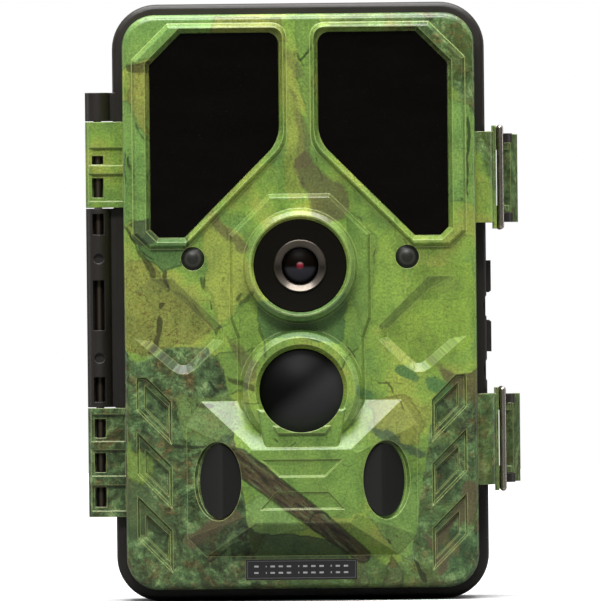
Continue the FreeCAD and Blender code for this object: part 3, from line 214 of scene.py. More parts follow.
# Stems, twigs and two painted highlight streaks, mirrored left and right: ends, half widths at the ends,
# colour, strength.
STEMS_AND_PAINTED_HIGHLIGHTS = [
    ((-1.5, 119), (1.5, 103), 0.8, 2.2, BARK, 0.55), ((1.5, 103), (7, 92), 2.2, 4.6, BARK, 0.75),
    ((-3, 128), (1, 124), 1.0, 1.4, BARK, 0.4), ((-40, 125.5), (-34, 125.5), 1.0, 1.2, BARK_DARK, 0.7),
    ((-26, 14), (-17, 19.5), 1.4, 1.8, BARK, 0.85), ((32, 8), (39.5, 24), 1.4, 2.6, BARK, 0.85),
    ((31, 56), (36, 50), 1.2, 1.8, BARK, 0.8), ((17, 41.5), (27, 34), 1.0, 1.6, SLATE, 0.85),
    ((-22, 90), (-13.5, 82), 0.9, 1.5, BARK, 0.65), ((-17, 62), (-12, 54), 0.8, 2.2, BARK, 0.6),
    ((23.5, 54), (26, 52.6), 1.0, 1.2, TEAL, 0.9), ((30, 51.5), (34, 49.5), 1.6, 1.4, TEAL, 0.9),
    ((13.5, 48.6), (17, 48.6), 1.6, 0.7, TEAL, 0.9), ((24, 20), (31, 12), 0.3, 0.9, BARK, 0.9),
    ((22, 15), (28, 5), 0.25, 0.6, INK, 0.8), ((-11, 72), (-22, 62.5), 0.45, 0.6, INK, 0.6),
    ((-31, 76), (-35.5, 59.5), 0.5, 0.8, BARK_DARK, 0.8), ((-24, 78), (-21.5, 69), 0.3, 0.3, INK, 0.7),
    ((39, 114), (40, 92), 0.5, 0.35, INK, 0.8), ((-35.5, 137), (-30, 130), 0.35, 0.45, INK, 0.75),
    ((12, 94), (16.5, 84.5), 0.2, 0.25, INK, 0.45), ((16.5, 84.5), (17, 65), 0.2, 0.3, INK, 0.4),
    ((-40, 86), (-34, 76), 0.3, 0.8, INK, 0.7), ((-41, 106), (-40, 90), 0.3, 0.4, INK, 0.6),
    ((-4, 137), (-2, 130), 0.4, 0.5, INK, 0.6), ((-2, 130), (2.5, 125), 0.5, 0.25, INK, 0.6),
    ((-9.5, 66), (-9, 57), 0.3, 0.4, INK, 0.6), ((-17.5, 94), (-17.5, 71), 0.2, 0.25, INK, 0.35),
    ((12, 68), (6, 60), 0.25, 0.3, INK, 0.4), ((19, 63), (12, 70), 0.2, 0.25, INK, 0.4),
    ((-30, 48), (-20, 46), 0.5, 1.0, BARK_DARK, 0.7), ((-20, 54), (-11, 50.5), 0.4, 0.9, BARK_DARK, 0.7),
    # The last two: painted highlight streaks, mirrored left and right.
    ((-25, 85.2), (-8.5, 101.6), 0.9, 0.9, tint(166, 184, 92), 0.45),
    ((25, 85.2), (8.5, 101.6), 0.9, 0.9, tint(160, 182, 92), 0.4),
]
# The branch across the lower panel, in two runs: ends and half widths.
BRANCH = [((-15, 33.0), (4, 18.5), 2.6, 2.1), ((4, 18.5), (14, 10.5), 2.1, 1.4)]
# The angle of its grain, in radians.
BRANCH_ANGLE = 0.7
# Stems wider than this wander with the leaf edges; thinner ones only bend.
FINE_STEM = 1.3
# Thin dark twigs and leaf edges: x and z of both ends, half width, strength.
TWIGS = [
    (-41, 120, -38, 112, 0.2, 0.6), (-38, 112, -36, 106, 0.25, 0.6), (-36.5, 106, -35, 100, 0.2, 0.5),
    (-40, 104, -37, 96, 0.2, 0.6), (-37, 96, -35.5, 91, 0.2, 0.6), (-42, 88, -34, 79, 0.25, 0.6),
    (-24.5, 87, -23, 78, 0.25, 0.6), (-23, 78, -22, 71, 0.2, 0.6), (-20, 63, -11.5, 74, 0.25, 0.6),
    (-17, 65, -16, 60, 0.25, 0.5), (-42, 52.5, -33, 50.5, 0.2, 0.5), (-22, 54, -17, 47.5, 0.35, 0.7),
    (-17, 47.5, -10.5, 47, 0.2, 0.6), (-30, 37.5, -19, 36.5, 0.35, 0.6), (-10, 33, -7, 30, 0.2, 0.6),
    (-7, 39.5, -4, 36, 0.2, 0.6), (-4, 36, -2, 38, 0.2, 0.5), (20, 53, 24, 44, 0.2, 0.5),
    (11, 60, 18, 52, 0.2, 0.5), (18, 52, 26, 50, 0.2, 0.5), (26, 110, 39.5, 104, 0.15, 0.4),
    (36, 99, 39.5, 92, 0.2, 0.6), (22, 88, 27, 79, 0.2, 0.4), (9, 54, 13, 60, 0.2, 0.5),
    (-6, 134, -1, 128, 0.3, 0.6), (1, 127, 4.5, 131, 0.25, 0.6), (-2, 104, 3, 95, 0.2, 0.4),
    (5, 104, 7, 95, 0.2, 0.4), (12, 22, 22, 11, 0.25, 0.6), (-22, 9, -14, 15, 0.25, 0.5),
    (28, 20, 36, 13, 0.25, 0.5), (33, 36, 40, 27, 0.2, 0.4),
]


def wrapped_point(g):
    """Front-view coordinates that carry on round the sides, so that the print does not streak."""
    x, y, z = g.split(g.point())[0:3]
    depth = g.math("MAXIMUM", g.math("ADD", y, WRAP_DEPTH), 0.0)
    u = g.math("MULTIPLY_ADD", g.math("SIGN", x), depth, x)
    v = g.math("MULTIPLY_ADD", g.math("SIGN", g.math("SUBTRACT", z, MIDDLE_HEIGHT)), depth, z)
    return u, v


def stroke_depth(g, point, start, end, width_start, width_end):
    """How far inside a tapered stroke the point lies, in millimetres."""
    a = Vector((*start, 0))
    run = Vector((*end, 0)) - a
    offset = g.vector("SUBTRACT", point, tuple(a))
    along = g.math("DIVIDE", g.vector("DOT_PRODUCT", offset, tuple(run)), run.length_squared, clamp=True)
    nearest = g.add("ShaderNodeVectorMath", {0: tuple(run), "Scale": along}, operation="SCALE").outputs[0]
    distance = g.vector("DISTANCE", offset, nearest)
    half_width = g.math("MULTIPLY_ADD", along, width_end - width_start, width_start)
    return g.math("SUBTRACT", half_width, distance)


def area_depth(g, point, corners):
    """How far inside a convex outline the point lies, in millimetres."""
    depth = None
    for a, b in zip(corners, corners[1:] + corners[:1]):
        edge = Vector((b[0] - a[0], b[1] - a[1])).normalized()
        inward = (-edge.y, edge.x, 0)
        reach = g.math("SUBTRACT", g.vector("DOT_PRODUCT", point, inward),
                       inward[0] * a[0] + inward[1] * a[1])
        depth = reach if depth is None else g.math("MINIMUM", depth, reach)
    return depth


def rim(g, depth, width):
    """A thin line along the edge of a shape, strongest at the edge itself."""
    off_line = g.math("ABSOLUTE", g.math("SUBTRACT", depth, width / 2))
    return g.math("SUBTRACT", 1.0, g.step(off_line, 0, width))


def moss_colour(g, flat, point):
    """Clumps of moss with rusty crumbs between them."""
    clumps = g.noise(point, 4.0, 8, 0.8, warp=0.15)
    moss = g.ramp(clumps, [(0.36, tint(24, 30, 20)), (0.44, tint(48, 62, 42)), (0.5, tint(70, 92, 62)),
                           (0.56, tint(94, 124, 80)), (0.64, tint(142, 164, 112))])
    rust = g.step(g.noise(flat, 5.0, 8, 0.78), 0.5, 0.6)
    crumbs = g.ramp(g.noise(point, 1.0, 5, 0.8), [(0.42, tint(40, 34, 24)), (0.54, RUST),
                                                  (0.6, tint(132, 104, 74))])
    return g.mix(g.math("MULTIPLY", rust, 0.7), moss, crumbs)


def moss_mask(g, u, v, flat):
    """Moss covers the lower left and the foot, and comes back in the top right corner."""
    ragged = g.math("MULTIPLY", g.math("SUBTRACT", g.noise(flat, 7, 6, 0.62), 0.5), MOSS_RAGGED)
    level = g.math("MULTIPLY_ADD", g.step(u, -10.0, -20.0), MOSS_LEFT, MOSS_FOOT)
    level = g.math("ADD", level, g.math("MULTIPLY", g.step(u, 24.0, 32.0), MOSS_RIGHT))
    foot = g.step(g.math("ADD", g.math("SUBTRACT", level, v), ragged), -0.8, 1.4)
    below_ledge = g.math("SUBTRACT", 1.0, g.step(v, MOSS_LEDGE, MOSS_LEDGE + 0.8))
    foot = g.math("MULTIPLY", foot, below_ledge)
    corner = g.math("ADD", g.math("ADD", u, v), g.math("MULTIPLY", ragged, 1.3))
    corner = g.step(corner, 152.0, 156.0)
    strip = g.step(g.math("ADD", v, g.math("MULTIPLY", ragged, 0.3)), 133.0, 134.5)
    strip = g.math("MULTIPLY", strip, g.step(u, 5.0, 9.0))
    return g.math("MAXIMUM", foot, g.math("MAXIMUM", corner, strip))


def following(g, point, colour):
    """The same point, but only known once colour is: shapes that use it are then worked through
    after colour, one by one, and the renderer keeps few values alive."""
    red = g.add("ShaderNodeSeparateColor", {0: colour}).outputs[0]
    return g.vector("ADD", point, g.vector("SCALE", (0, 0, 1e-9), scale=red))


def print_colour(g, u, v, flat):
    """The leaf print, from the ground colour up to the twigs."""
    drift = g.vector("SUBTRACT", g.noise(flat, 13, 3, 0.5, colour=True), (0.5, 0.5, 0.5))
    bent = g.vector("ADD", flat, g.vector("SCALE", drift, scale=BEND))
    shiver = g.vector("SUBTRACT", g.noise(flat, 2.4, 3, 0.6, colour=True), (0.5, 0.5, 0.5))
    point = g.vector("ADD", bent, g.vector("SCALE", shiver, scale=SHIVER))

    wander = g.noise(bent, 19, 4, 0.55)
    colour = g.ramp(wander, [(0.3, BLUE_GREEN), (0.42, LEAF_GREEN), (0.5, FRESH_GREEN),
                             (0.58, YELLOW_GREEN), (0.68, DRY_OLIVE)])
    spot = following(g, point, colour)
    speckle = g.step(g.noise(flat, 0.75, 5, 0.8), 0.5, 0.57)
    blotch = g.step(g.noise(flat, 3.0, 5, 0.7), 0.44, 0.6)
    speckle = g.math("MULTIPLY", speckle, g.math("MULTIPLY_ADD", blotch, 0.7, 0.3))
    for corners, shade, outline, dry in AREAS:
        depth = area_depth(g, spot, corners)
        mask = g.step(depth, -0.15, 0.25)
        colour = g.mix(g.math("MULTIPLY", mask, 0.85), colour, shade)
        if outline:
            colour = g.mix(g.math("MULTIPLY", rim(g, depth, 0.45), outline * 0.6), colour, INK)
        if dry:
            colour = g.mix(g.math("MULTIPLY", g.math("MULTIPLY", speckle, mask), dry * 0.8), colour,
                           tint(98, 84, 46))

    # Soft light and shade over the leaves, two nets of veins, and small dry spots.
    folds = g.noise(g.vector("MULTIPLY", bent, (1.0, 0.6, 1.0)), 7, 6, 0.66)
    colour = g.mix(0.75, colour, g.ramp(folds, [(0.3, (0.42, 0.5, 0.44)), (0.5, (0.96, 0.96, 0.95)),
                                                (0.7, (1.36, 1.28, 1.1))]), "MULTIPLY")
    for size, width, strength, lift in ((5.5, 0.035, 0.45, 3.0), (2.1, 0.06, 0.22, 40.0)):
        veins = g.add("ShaderNodeTexVoronoi", {"Vector": point, "Scale": 1 / size, "Randomness": 1.0},
                      voronoi_dimensions="2D", feature="DISTANCE_TO_EDGE").outputs["Distance"]
        vein = g.math("SUBTRACT", 1.0, g.step(veins, 0.0, width))
        here = g.step(g.noise(g.vector("ADD", flat, (lift, 0, 0)), 8, 3), 0.47, 0.6)
        colour = g.mix(g.math("MULTIPLY", g.math("MULTIPLY", vein, here), strength), colour,
                       tint(74, 84, 44))
    spots = g.step(g.noise(g.vector("ADD", flat, (71, 9, 0)), 1.5, 5, 0.75), 0.6, 0.7)
    colour = g.mix(g.math("MULTIPLY", spots, 0.35), colour, tint(96, 92, 48))
    glints = g.step(g.noise(g.vector("ADD", flat, (15, 57, 0)), 2.0, 5, 0.75), 0.6, 0.72)
    colour = g.mix(g.math("MULTIPLY", glints, 0.3), colour, tint(172, 186, 96))

    cover = g.math("MULTIPLY_ADD", g.step(u, -12.0, 8.0), -0.33, 0.93)
    cover = g.math("MULTIPLY_ADD", g.step(u, 20.0, 30.0), 0.22, cover)
    moss = g.math("MULTIPLY", moss_mask(g, u, v, flat), cover)
    kept = g.math("SUBTRACT", 1.0, moss)
    for corners, _, _, _ in AREAS[-OVER_MOSS:]:
        clear = g.math("MULTIPLY", g.step(area_depth(g, spot, corners), -0.2, 0.3), 0.7)
        kept = g.math("MAXIMUM", kept, clear)
    colour = g.mix(kept, moss_colour(g, flat, point), colour)

    calm = following(g, bent, colour)
    twigs = 0.0
    for x0, z0, x1, z1, width, strength in TWIGS:
        depth = stroke_depth(g, calm, (x0, z0), (x1, z1), width * 1.5, width)
        twigs = g.math("MAXIMUM", twigs, g.math("MULTIPLY", g.step(depth, -0.15, 0.15), strength + 0.15))
    colour = g.mix(twigs, colour, INK)
    calm = following(g, bent, colour)
    spot = following(g, point, colour)
    for start, end, width_start, width_end, shade, strength in STEMS_AND_PAINTED_HIGHLIGHTS:
        place = calm if width_end < FINE_STEM else spot
        depth = stroke_depth(g, place, start, end, width_start, width_end)
        soft = max(0.25, min(1.2, width_end * 0.4))
        colour = g.mix(g.math("MULTIPLY", g.step(depth, -soft / 2, soft / 2), strength), colour, shade)

    along = g.add("ShaderNodeVectorRotate", {"Vector": flat, "Angle": BRANCH_ANGLE},
                  rotation_type="Z_AXIS").outputs[0]
    grain = g.noise(g.vector("MULTIPLY", along, (0.22, 1.5, 1)), 1.5, 6, 0.72)
    bark = g.ramp(grain, [(0.38, tint(40, 38, 26)), (0.46, tint(66, 62, 44)), (0.52, tint(88, 74, 52)),
                          (0.58, tint(78, 92, 60)), (0.66, tint(104, 116, 78))])
    for start, end, width_start, width_end in BRANCH:
        depth = stroke_depth(g, flat, start, end, width_start, width_end)
        colour = g.mix(g.math("MULTIPLY", g.step(depth, -0.7, -0.2), 0.85), colour, INK)
        colour = g.mix(g.step(depth, -0.15, 0.2), colour, bark)
    return colour


def camouflage(name):
    """Glossy film-printed plastic: the leaf print with fine grain, and edges painted lighter, partly as
    wear and partly as a painted highlight.
    """
    g = Graph(name)
    u, v = wrapped_point(g)
    flat = g.join(u, v)
    colour = print_colour(g, u, v, flat)

    # Fine grain, then lighter edges where the relief turns sharply: partly wear, partly a painted
    # highlight.
    grain = g.noise(flat, 0.55, 4, 0.75)
    grain_shade = g.ramp(grain, [(0.38, (0.62, 0.6, 0.56)), (0.62, (1.34, 1.34, 1.3))])
    colour = g.mix(0.8, colour, grain_shade, "MULTIPLY")
    soft_normal, turn = g.edge_softness(0.32)
    edge_wear_and_highlight = g.math("MULTIPLY", g.step(turn, 0.005, 0.045), 0.58)
    colour = g.mix(edge_wear_and_highlight, colour, tint(190, 204, 126))
    peel = g.noise(g.point(), 0.35, 2, 0.5)
    normal = g.bump(peel, 0.015, 0.3, soft_normal)
    roughness = g.math("MULTIPLY_ADD", g.noise(g.point(), 7, 3), 0.12, 0.22)
    return g.finish(Base_Color=colour, Roughness=roughness, Normal=normal, Specular_IOR_Level=0.6)


# ---------------------------------------------------------------- plain materials

GLASS_IOR = 1.5
# The battery cells stand in two rows: where the lower row starts, and the step up to the upper one.
CELL_FOOT, CELL_PITCH = 15.0, 57.0
# The sleeved part of a cell as shares of that step: its middle, and half its length.
SLEEVE_MIDDLE, SLEEVE_HALF = 0.45, 0.4


def moulded(name, colour, roughness, texture=0.25, depth=0.03, variation=0.25, radius=0.3):
    """Moulded plastic with a spark-eroded texture, softened edges painted lighter, partly as wear and
    partly as a painted highlight, and faint handling marks.
    """
    g = Graph(name)
    point = g.point()
    cloudy = g.noise(point, 18, 4, 0.6)
    lighter = tuple(min(1.0, c * 2.2 + 0.01) for c in colour)
    shade = g.mix(g.math("MULTIPLY", cloudy, variation), colour, lighter)
    grain = g.noise(point, texture, 3, 0.6)
    soft_normal, turn = g.edge_softness(radius)
    # Edges painted lighter: partly wear, partly a painted highlight.
    edge_wear_and_highlight = g.math("MULTIPLY", g.step(turn, 0.02, 0.2), 0.35)
    edge_wear_and_highlight_shade = tuple(min(1.0, c * 2.5 + 0.03) for c in colour)
    shade = g.mix(edge_wear_and_highlight, shade, edge_wear_and_highlight_shade)
    rub = g.noise(point, 9, 5, 0.65)
    rough = g.math("MULTIPLY_ADD", rub, 0.2, roughness - 0.1)
    return g.finish(Base_Color=shade, Roughness=rough, Normal=g.bump(grain, depth, 0.5, soft_normal))


def metal(name, colour, roughness, stretch=(1, 1, 12), grain=0.4):
    """Drawn or turned metal with a directional grain and slight staining."""
    g = Graph(name)
    drawn = g.vector("MULTIPLY", g.point(), tuple(1 / s for s in stretch))
    lines = g.noise(drawn, grain, 4, 0.6)
    stain = g.noise(g.point(), 6, 4, 0.6)
    shade = g.mix(g.math("MULTIPLY", stain, 0.4), colour, tuple(c * 0.6 for c in colour))
    rough = g.math("MULTIPLY_ADD", lines, 0.22, roughness - 0.06)
    return g.finish(Base_Color=shade, Metallic=1.0, Roughness=rough, Normal=g.bump(lines, 0.012, 0.6))


def smooth_dark(name, colour, roughness, gloss=0.3, haze=0.06, tone=None):
    """Optical plastic or glass seen from outside: dark, smooth, with faint dust and wipe marks."""
    g = Graph(name)
    point = g.point()
    if tone:
        colour = tone(g)
    dust = g.step(g.noise(point, 0.35, 2, 0.5), 0.66, 0.8)
    smear = g.noise(g.vector("MULTIPLY", point, (0.4, 1, 1.3)), 7, 4, 0.6)
    shade = g.mix(g.math("MULTIPLY", dust, haze), colour, (0.25, 0.25, 0.24))
    rough = g.math("MULTIPLY_ADD", smear, 0.12, roughness)
    return g.finish(Base_Color=shade, Roughness=rough, Specular_IOR_Level=gloss,
                    Normal=g.bump(smear, 0.01, 0.2))


def around(g, x, z):
    """Distance from an axis that runs front to back, and the offsets across and up from it."""
    px, _, pz = g.split(g.point())[0:3]
    across = g.math("SUBTRACT", px, x)
    up = g.math("SUBTRACT", pz, z)
    return g.vector("LENGTH", g.join(across, up)), across, up


def centre_of(node):
    """Middle of a piece in the front view, in millimetres."""
    low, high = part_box(node)
    return (low.x + high.x) * 500, (low.z + high.z) * 500


def sensor_painted_reflection(g):
    """The centre sensor lens: a painted reflection, darker towards its upper left."""
    _, across, up = around(g, *centre_of("pir_lens_centre"))
    diagonal = g.math("SUBTRACT", across, g.math("MULTIPLY", up, 1.25))
    return g.mix(g.step(diagonal, -3.5, 5.5), tint(8, 7, 6), tint(52, 52, 53))


def side_sensor_painted_reflection(g):
    """Each side lens has a fold down the middle; a painted reflection makes its outer half a little
    lighter.
    """
    x, _ = centre_of("pir_lens_right")
    px = g.split(g.point())[0]
    fold = g.math("SUBTRACT", g.math("ABSOLUTE", px), abs(x))
    return g.mix(g.step(g.math("MULTIPLY", fold, g.math("SIGN", px)), -0.25, 0.25), tint(46, 46, 45),
                 tint(38, 38, 37))


def lens_painted_reflection(g):
    """A dark lens with a painted reflection: black above, blue-grey below and darker towards the rim,
    with a painted red glint from the coating at its centre.
    """
    distance, _, up = around(g, *centre_of("lens_front_element"))
    # Painted reflection: black above, blue-grey below, darker towards the rim.
    glass_painted_shading = g.mix(g.step(up, -0.9, 0.1), tint(50, 50, 54), tint(20, 16, 13))
    glass_painted_shading = g.mix(g.step(distance, 2.9, 4.0), glass_painted_shading, tint(12, 10, 9))
    # A painted red glint at the centre, pink-white towards its top.
    glint_spot = g.math("SUBTRACT", 1.0, g.step(distance, 0.45, 1.05))
    red_glint = g.ramp(g.math("MULTIPLY_ADD", up, 0.35, 0.5),
                  [(0.15, tint(84, 66, 68)), (0.42, tint(108, 28, 42)), (0.6, tint(132, 50, 62)),
                   (0.78, tint(186, 140, 142)), (1.0, tint(70, 40, 42))])
    return g.mix(glint_spot, glass_painted_shading, red_glint)


def dome_tone(g):
    """A smoked lamp cover: grey disc inside a darker ring."""
    px, _, pz = g.split(g.point())[0:3]
    x, z = centre_of("status_lamp_dome")
    across = g.math("SUBTRACT", g.math("ABSOLUTE", px), abs(x))
    distance = g.vector("LENGTH", g.join(across, g.math("SUBTRACT", pz, z)))
    disc = g.mix(g.step(distance, 1.1, 1.5), tint(44, 44, 40), tint(62, 62, 56))
    return g.mix(g.step(distance, 1.75, 2.1), disc, tint(34, 36, 32))


def glass(name, colour, opacity, roughness=0.04):
    """Clear or tinted glass with faint smears; opacity is the share of light it does not let through."""
    g = Graph(name)
    smear = g.noise(g.point(), 5, 4, 0.6)
    deeper = tuple(c * 0.7 for c in colour)
    return g.finish(Base_Color=g.mix(g.math("MULTIPLY", smear, 0.3), colour, deeper),
                    Roughness=g.math("MULTIPLY_ADD", smear, 0.06, roughness),
                    Transmission_Weight=1.0 - opacity, IOR=GLASS_IOR, Normal=g.bump(smear, 0.005, 0.2))


def circuit_board(name):
    """Solder-masked laminate with routed tracks and pads."""
    g = Graph(name)
    point = g.point()
    x, _, z = g.split(point)[0:3]
    flat = g.join(x, z)
    cells = g.add("ShaderNodeTexVoronoi", {"Vector": flat, "Scale": 0.35}, voronoi_dimensions="2D",
                  feature="F1", distance="CHEBYCHEV")
    edges = g.add("ShaderNodeTexVoronoi", {"Vector": flat, "Scale": 0.35}, voronoi_dimensions="2D",
                  feature="F1", distance="MANHATTAN")
    track = g.step(g.math("SINE", g.math("MULTIPLY", edges.outputs["Distance"], 22.0)), 0.5, 0.75)
    pad = g.math("SUBTRACT", 1.0, g.step(cells.outputs["Distance"], 0.1, 0.14))
    mask = (0.012, 0.085, 0.03)
    colour = g.mix(g.math("MULTIPLY", track, 0.55), mask, (0.03, 0.17, 0.06))
    colour = g.mix(g.math("MULTIPLY", pad, 0.8), colour, (0.6, 0.55, 0.4))
    height = g.math("MAXIMUM", g.math("MULTIPLY", track, 0.5), pad)
    return g.finish(Base_Color=colour, Roughness=g.math("MULTIPLY_ADD", g.noise(point, 4, 3), 0.2, 0.3),
                    Normal=g.bump(height, 0.06, 0.6))


def cell_sleeve(name):
    """Plain battery sleeve: a blue-grey body, with bare metal at both ends of each cell."""
    g = Graph(name)
    point = g.point()
    z = g.split(point)[2]
    along = g.math("FRACT", g.math("DIVIDE", g.math("SUBTRACT", z, CELL_FOOT), CELL_PITCH))
    from_middle = g.math("ABSOLUTE", g.math("SUBTRACT", along, SLEEVE_MIDDLE))
    band = g.step(from_middle, SLEEVE_HALF, SLEEVE_HALF + 0.005)
    wear = g.noise(g.vector("MULTIPLY", point, (1, 1, 0.2)), 1.2, 5, 0.7)
    colour = g.mix(band, (0.05, 0.085, 0.13), (0.5, 0.5, 0.49))
    colour = g.mix(g.math("MULTIPLY", g.step(wear, 0.6, 0.75), 0.35), colour, (0.35, 0.34, 0.33))
    return g.finish(Base_Color=colour, Roughness=g.math("MULTIPLY_ADD", wear, 0.25, 0.22), Metallic=0.35,
                    Normal=g.bump(wear, 0.02, 0.4))


def label_print(name):
    """A dark plate with a thin pale border and two rows of plain dashes in place of lettering."""
    g = Graph(name)
    low, high = (corner * 1000 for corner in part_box("label_plate"))
    x, _, z = g.split(g.point())[0:3]
    centre_x, centre_z = (low.x + high.x) / 2, (low.z + high.z) / 2
    across = g.math("ABSOLUTE", g.math("SUBTRACT", x, centre_x))
    tall = g.math("ABSOLUTE", g.math("SUBTRACT", z, centre_z))
    half_x, half_z = (high.x - low.x) / 2, (high.z - low.z) / 2
    to_rim = g.math("MINIMUM", g.math("SUBTRACT", half_x, across), g.math("SUBTRACT", half_z, tall))
    border = g.math("MULTIPLY", g.step(to_rim, 0.25, 0.32),
                    g.math("SUBTRACT", 1.0, g.step(to_rim, 0.42, 0.5)))
    dash = g.math("MULTIPLY", g.step(g.math("SINE", g.math("MULTIPLY", x, 3.3)), -0.25, 0.05),
                  g.step(g.math("SINE", g.math("MULTIPLY", x, 0.83)), -0.86, -0.78))
    off_row = g.math("ABSOLUTE", g.math("SUBTRACT", tall, 0.75))
    row = g.math("MULTIPLY", g.math("SUBTRACT", 1.0, g.step(off_row, 0.14, 0.26)),
                 g.math("SUBTRACT", 1.0, g.step(across, half_x - 1.6, half_x - 1.4)))
    print_mask = g.math("MAXIMUM", g.math("MULTIPLY", border, 0.2), g.math("MULTIPLY", dash, row))
    fade = g.noise(g.point(), 0.6, 3, 0.6)
    colour = g.mix(g.math("MULTIPLY", print_mask, g.math("MULTIPLY_ADD", fade, 0.5, 0.45)),
                   (0.018, 0.018, 0.018), (0.62, 0.63, 0.64))
    return g.finish(Base_Color=colour, Roughness=g.math("MULTIPLY_ADD", fade, 0.15, 0.32),
                    Normal=g.bump(print_mask, 0.03, 0.5))


def dress(material, *names):
    """Give the named pieces this material and no other."""
    for name in names:
        mesh = NODES[name].data
        mesh.materials.clear()
        mesh.materials.append(material)


KEYS = ("key_up", "key_down", "key_left", "key_right", "key_ok", "key_menu")
dress(camouflage("leaf_camouflage"), "front_cover", "latch_lever_upper", "latch_lever_lower")
dress(moulded("case_black", (0.0125, 0.0095, 0.0075), 0.4, 0.3, 0.03, 0.35), "rear_case")
dress(moulded("tray_black", (0.03, 0.03, 0.032), 0.5, 0.4, 0.04), "battery_tray", "lens_holder",
      "mode_switch_body", "microphone", "dc_jack", "image_sensor")
dress(moulded("panel_grey", (0.055, 0.058, 0.06), 0.45, 0.35, 0.03), "inner_panel")
dress(moulded("key_grey", (0.3, 0.31, 0.31), 0.42, 0.25, 0.02), *KEYS, "mode_switch")
dress(moulded("card_blue", (0.02, 0.035, 0.08), 0.4, 0.3, 0.02), "sd_card")
dress(moulded("switch_black", (0.02, 0.02, 0.02), 0.4, 0.3, 0.02), "tact_switches", "speaker")
dress(smooth_dark("window_acrylic", tint(14, 12, 9), 0.12, 0.3), "ir_window_right", "ir_window_left")
dress(smooth_dark("mask_satin", tint(20, 17, 11), 0.3, 0.15, 0.02), "lens_mask")
# The sensor lenses get a painted reflection in their colour.
dress(smooth_dark("pir_satin_painted_reflection", None, 0.42, 0.12, 0.03, sensor_painted_reflection), "pir_lens_centre")
dress(smooth_dark("pir_side_satin_painted_reflection", None, 0.42, 0.12, 0.03, side_sensor_painted_reflection), "pir_lens_right",
      "pir_lens_left")
dress(smooth_dark("dome_smoke", None, 0.3, 0.3, 0.1, dome_tone), "light_sensor_dome", "status_lamp_dome")
# The camera lens gets a painted reflection and a painted red glint in its colour.
dress(smooth_dark("lens_coated_painted_glint", None, 0.3, 0.03, 0.0, lens_painted_reflection), "lens_front_element")
dress(glass("filter_glass", (0.25, 0.45, 0.5), 0.3), "ir_cut_filter")
dress(glass("screen_cover", (0.5, 0.52, 0.52), 0.25), "lcd_window")
dress(smooth_dark("screen_dark", (0.015, 0.02, 0.03), 0.12, 0.5), "lcd_screen")
dress(metal("barrel_metal", tint(120, 112, 104), 0.26, (1, 1, 1), 0.5), "lens_barrel")
dress(metal("pin_black", tint(84, 76, 68), 0.45, (3, 3, 0.4), 0.5), "hinge_pin")
dress(metal("wire_steel", tint(196, 186, 176), 0.22), "latch_bail_upper", "latch_bail_lower")
dress(metal("screw_steel", (0.5, 0.5, 0.5), 0.3, (1, 1, 1)), "tray_screws", "panel_screws")
dress(metal("nickel", (0.72, 0.7, 0.64), 0.22, (1, 1, 1)), "battery_springs", "battery_contacts",
      "sd_slot", "usb_socket", "pir_sensors")
dress(metal("coil_copper", (0.6, 0.26, 0.12), 0.35, (6, 6, 1), 0.3), "filter_coil")
dress(metal("insert_brass", (0.66, 0.46, 0.18), 0.3, (1, 1, 1)), "tripod_insert")
dress(moulded("seal_rubber", (0.018, 0.018, 0.018), 0.75, 0.5, 0.05), "case_gasket", "jack_plug")
dress(moulded("lead_red", (0.3, 0.02, 0.015), 0.5, 0.6, 0.02), "battery_leads")
dress(circuit_board("circuit_board"), "main_board", "image_board", "ir_board_right", "ir_board_left",
      "pir_boards")
dress(cell_sleeve("cell_sleeve"), "battery_cells")
dress(glass("led_epoxy", (0.7, 0.72, 0.75), 0.5, 0.08), "ir_leds")
dress(label_print("label_print"), "label_plate")


# ---------------------------------------------------------------- stage, light and camera

# Distances from the object, in millimetres, over which the floor brightens into the background.
FLOOR_FADE = (180.0, 900.0)
# Where the lights aim, in metres.
MIDDLE = (0, 0, 0.07)


def studio_material():
    """A pale floor, kept dim in reflections so that it does not veil the black parts."""
    g = Graph("studio_white")
    faint = g.noise(g.point(), 300, 2)
    pale = g.mix(faint, (0.9, 0.9, 0.895), (0.93, 0.93, 0.93))
    seen = g.add("ShaderNodeLightPath").outputs["Is Camera Ray"]
    away = g.step(g.vector("LENGTH", g.point()), *FLOOR_FADE)
    return g.finish(Base_Color=g.mix(seen, (0.16, 0.16, 0.155), pale), Roughness=0.7,
                    Emission_Color=(1, 1, 1), Emission_Strength=g.math("MULTIPLY", seen, away))


def stage_floor():
    """A square floor, far wider than the view, at the height that the object stands on."""
    mesh = bpy.data.meshes.new("floor")
    half = 3.0
    mesh.from_pydata([(-half, -half, 0), (half, -half, 0), (half, half, 0), (-half, half, 0)], [],
                     [(0, 1, 2, 3)])
    floor = bpy.data.objects.new("floor", mesh)
    bpy.context.scene.collection.objects.link(floor)
    mesh.materials.append(studio_material())


def area_light(name, place, target, size, power):
    """A rectangular soft light; place and size in metres, power in watts."""
    data = bpy.data.lights.new(name, "AREA")
    data.shape = "RECTANGLE"
    data.size, data.size_y = size
    data.energy = power
    light = bpy.data.objects.new(name, data)
    light.location = place
    light.rotation_euler = (Vector(target) - Vector(place)).to_track_quat("-Z", "Y").to_euler()
    bpy.context.scene.collection.objects.link(light)


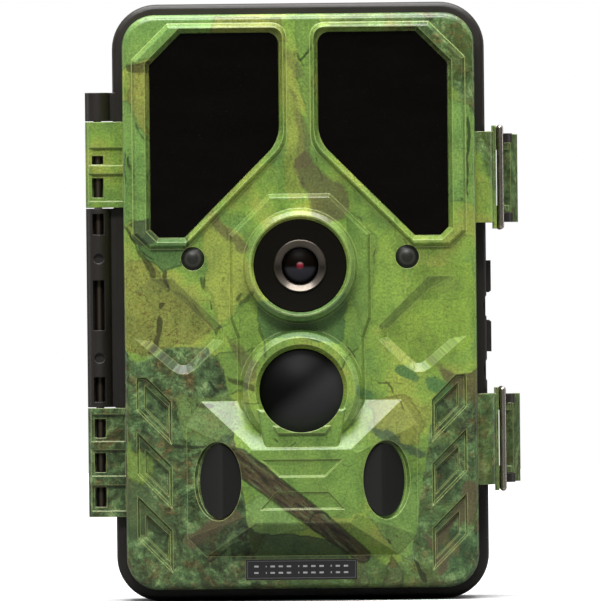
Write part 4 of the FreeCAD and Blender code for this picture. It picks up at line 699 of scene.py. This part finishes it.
def photo_camera():
    """Straight on to the front, from far enough to be nearly parallel, with the photo's slight roll."""
    data = bpy.data.cameras.new("photo")
    camera = bpy.data.objects.new("photo", data)
    distance, view_height, roll = 4.0, 0.1407, 0.6
    centre = Vector((-0.0001, -0.027, 0.0702))
    data.sensor_width = 36
    data.lens = data.sensor_width * distance / view_height
    camera.location = centre + Vector((0, -distance, 0))
    camera.rotation_euler = (math.radians(90), math.radians(roll), 0)
    bpy.context.scene.collection.objects.link(camera)
    bpy.context.scene.camera = camera


def studio_world():
    """White behind the object; as a light it is bright overhead and dim towards the ground."""
    world = bpy.data.worlds.new("studio")
    world.use_nodes = True
    tree = world.node_tree
    background = tree.nodes["Background"]
    coords = tree.nodes.new("ShaderNodeTexCoord")
    height = tree.nodes.new("ShaderNodeSeparateXYZ")
    tree.links.new(coords.outputs["Generated"], height.inputs[0])
    level = tree.nodes.new("ShaderNodeMapRange")
    level.interpolation_type = "SMOOTHSTEP"
    tree.links.new(height.outputs["Z"], level.inputs["Value"])
    for name, value in (("From Min", 0.08), ("From Max", 0.95), ("To Min", 0.05), ("To Max", 1.0)):
        level.inputs[name].default_value = value
    path = tree.nodes.new("ShaderNodeLightPath")
    seen = tree.nodes.new("ShaderNodeMix")
    tree.links.new(path.outputs["Is Camera Ray"], seen.inputs[0])
    tree.links.new(level.outputs["Result"], seen.inputs[2])
    seen.inputs[3].default_value = 1.0
    tree.links.new(seen.outputs[0], background.inputs["Strength"])
    background.inputs["Color"].default_value = (1, 1, 1, 1)
    bpy.context.scene.world = world


stage_floor()
studio_world()
bpy.context.scene.view_settings.view_transform = "Standard"
area_light("top_soft", (0.0, -0.1, 0.75), (0, -0.03, 0.07), (0.8, 0.5), 8.5)
area_light("front_high", (-0.1, -1.0, 0.9), MIDDLE, (0.6, 0.25), 10)
for side_name, side in (("left_fill", -1), ("right_fill", 1)):
    area_light(side_name, (side * 1.2, 0.25, 0.3), MIDDLE, (0.3, 0.7), 1.5)
photo_camera()
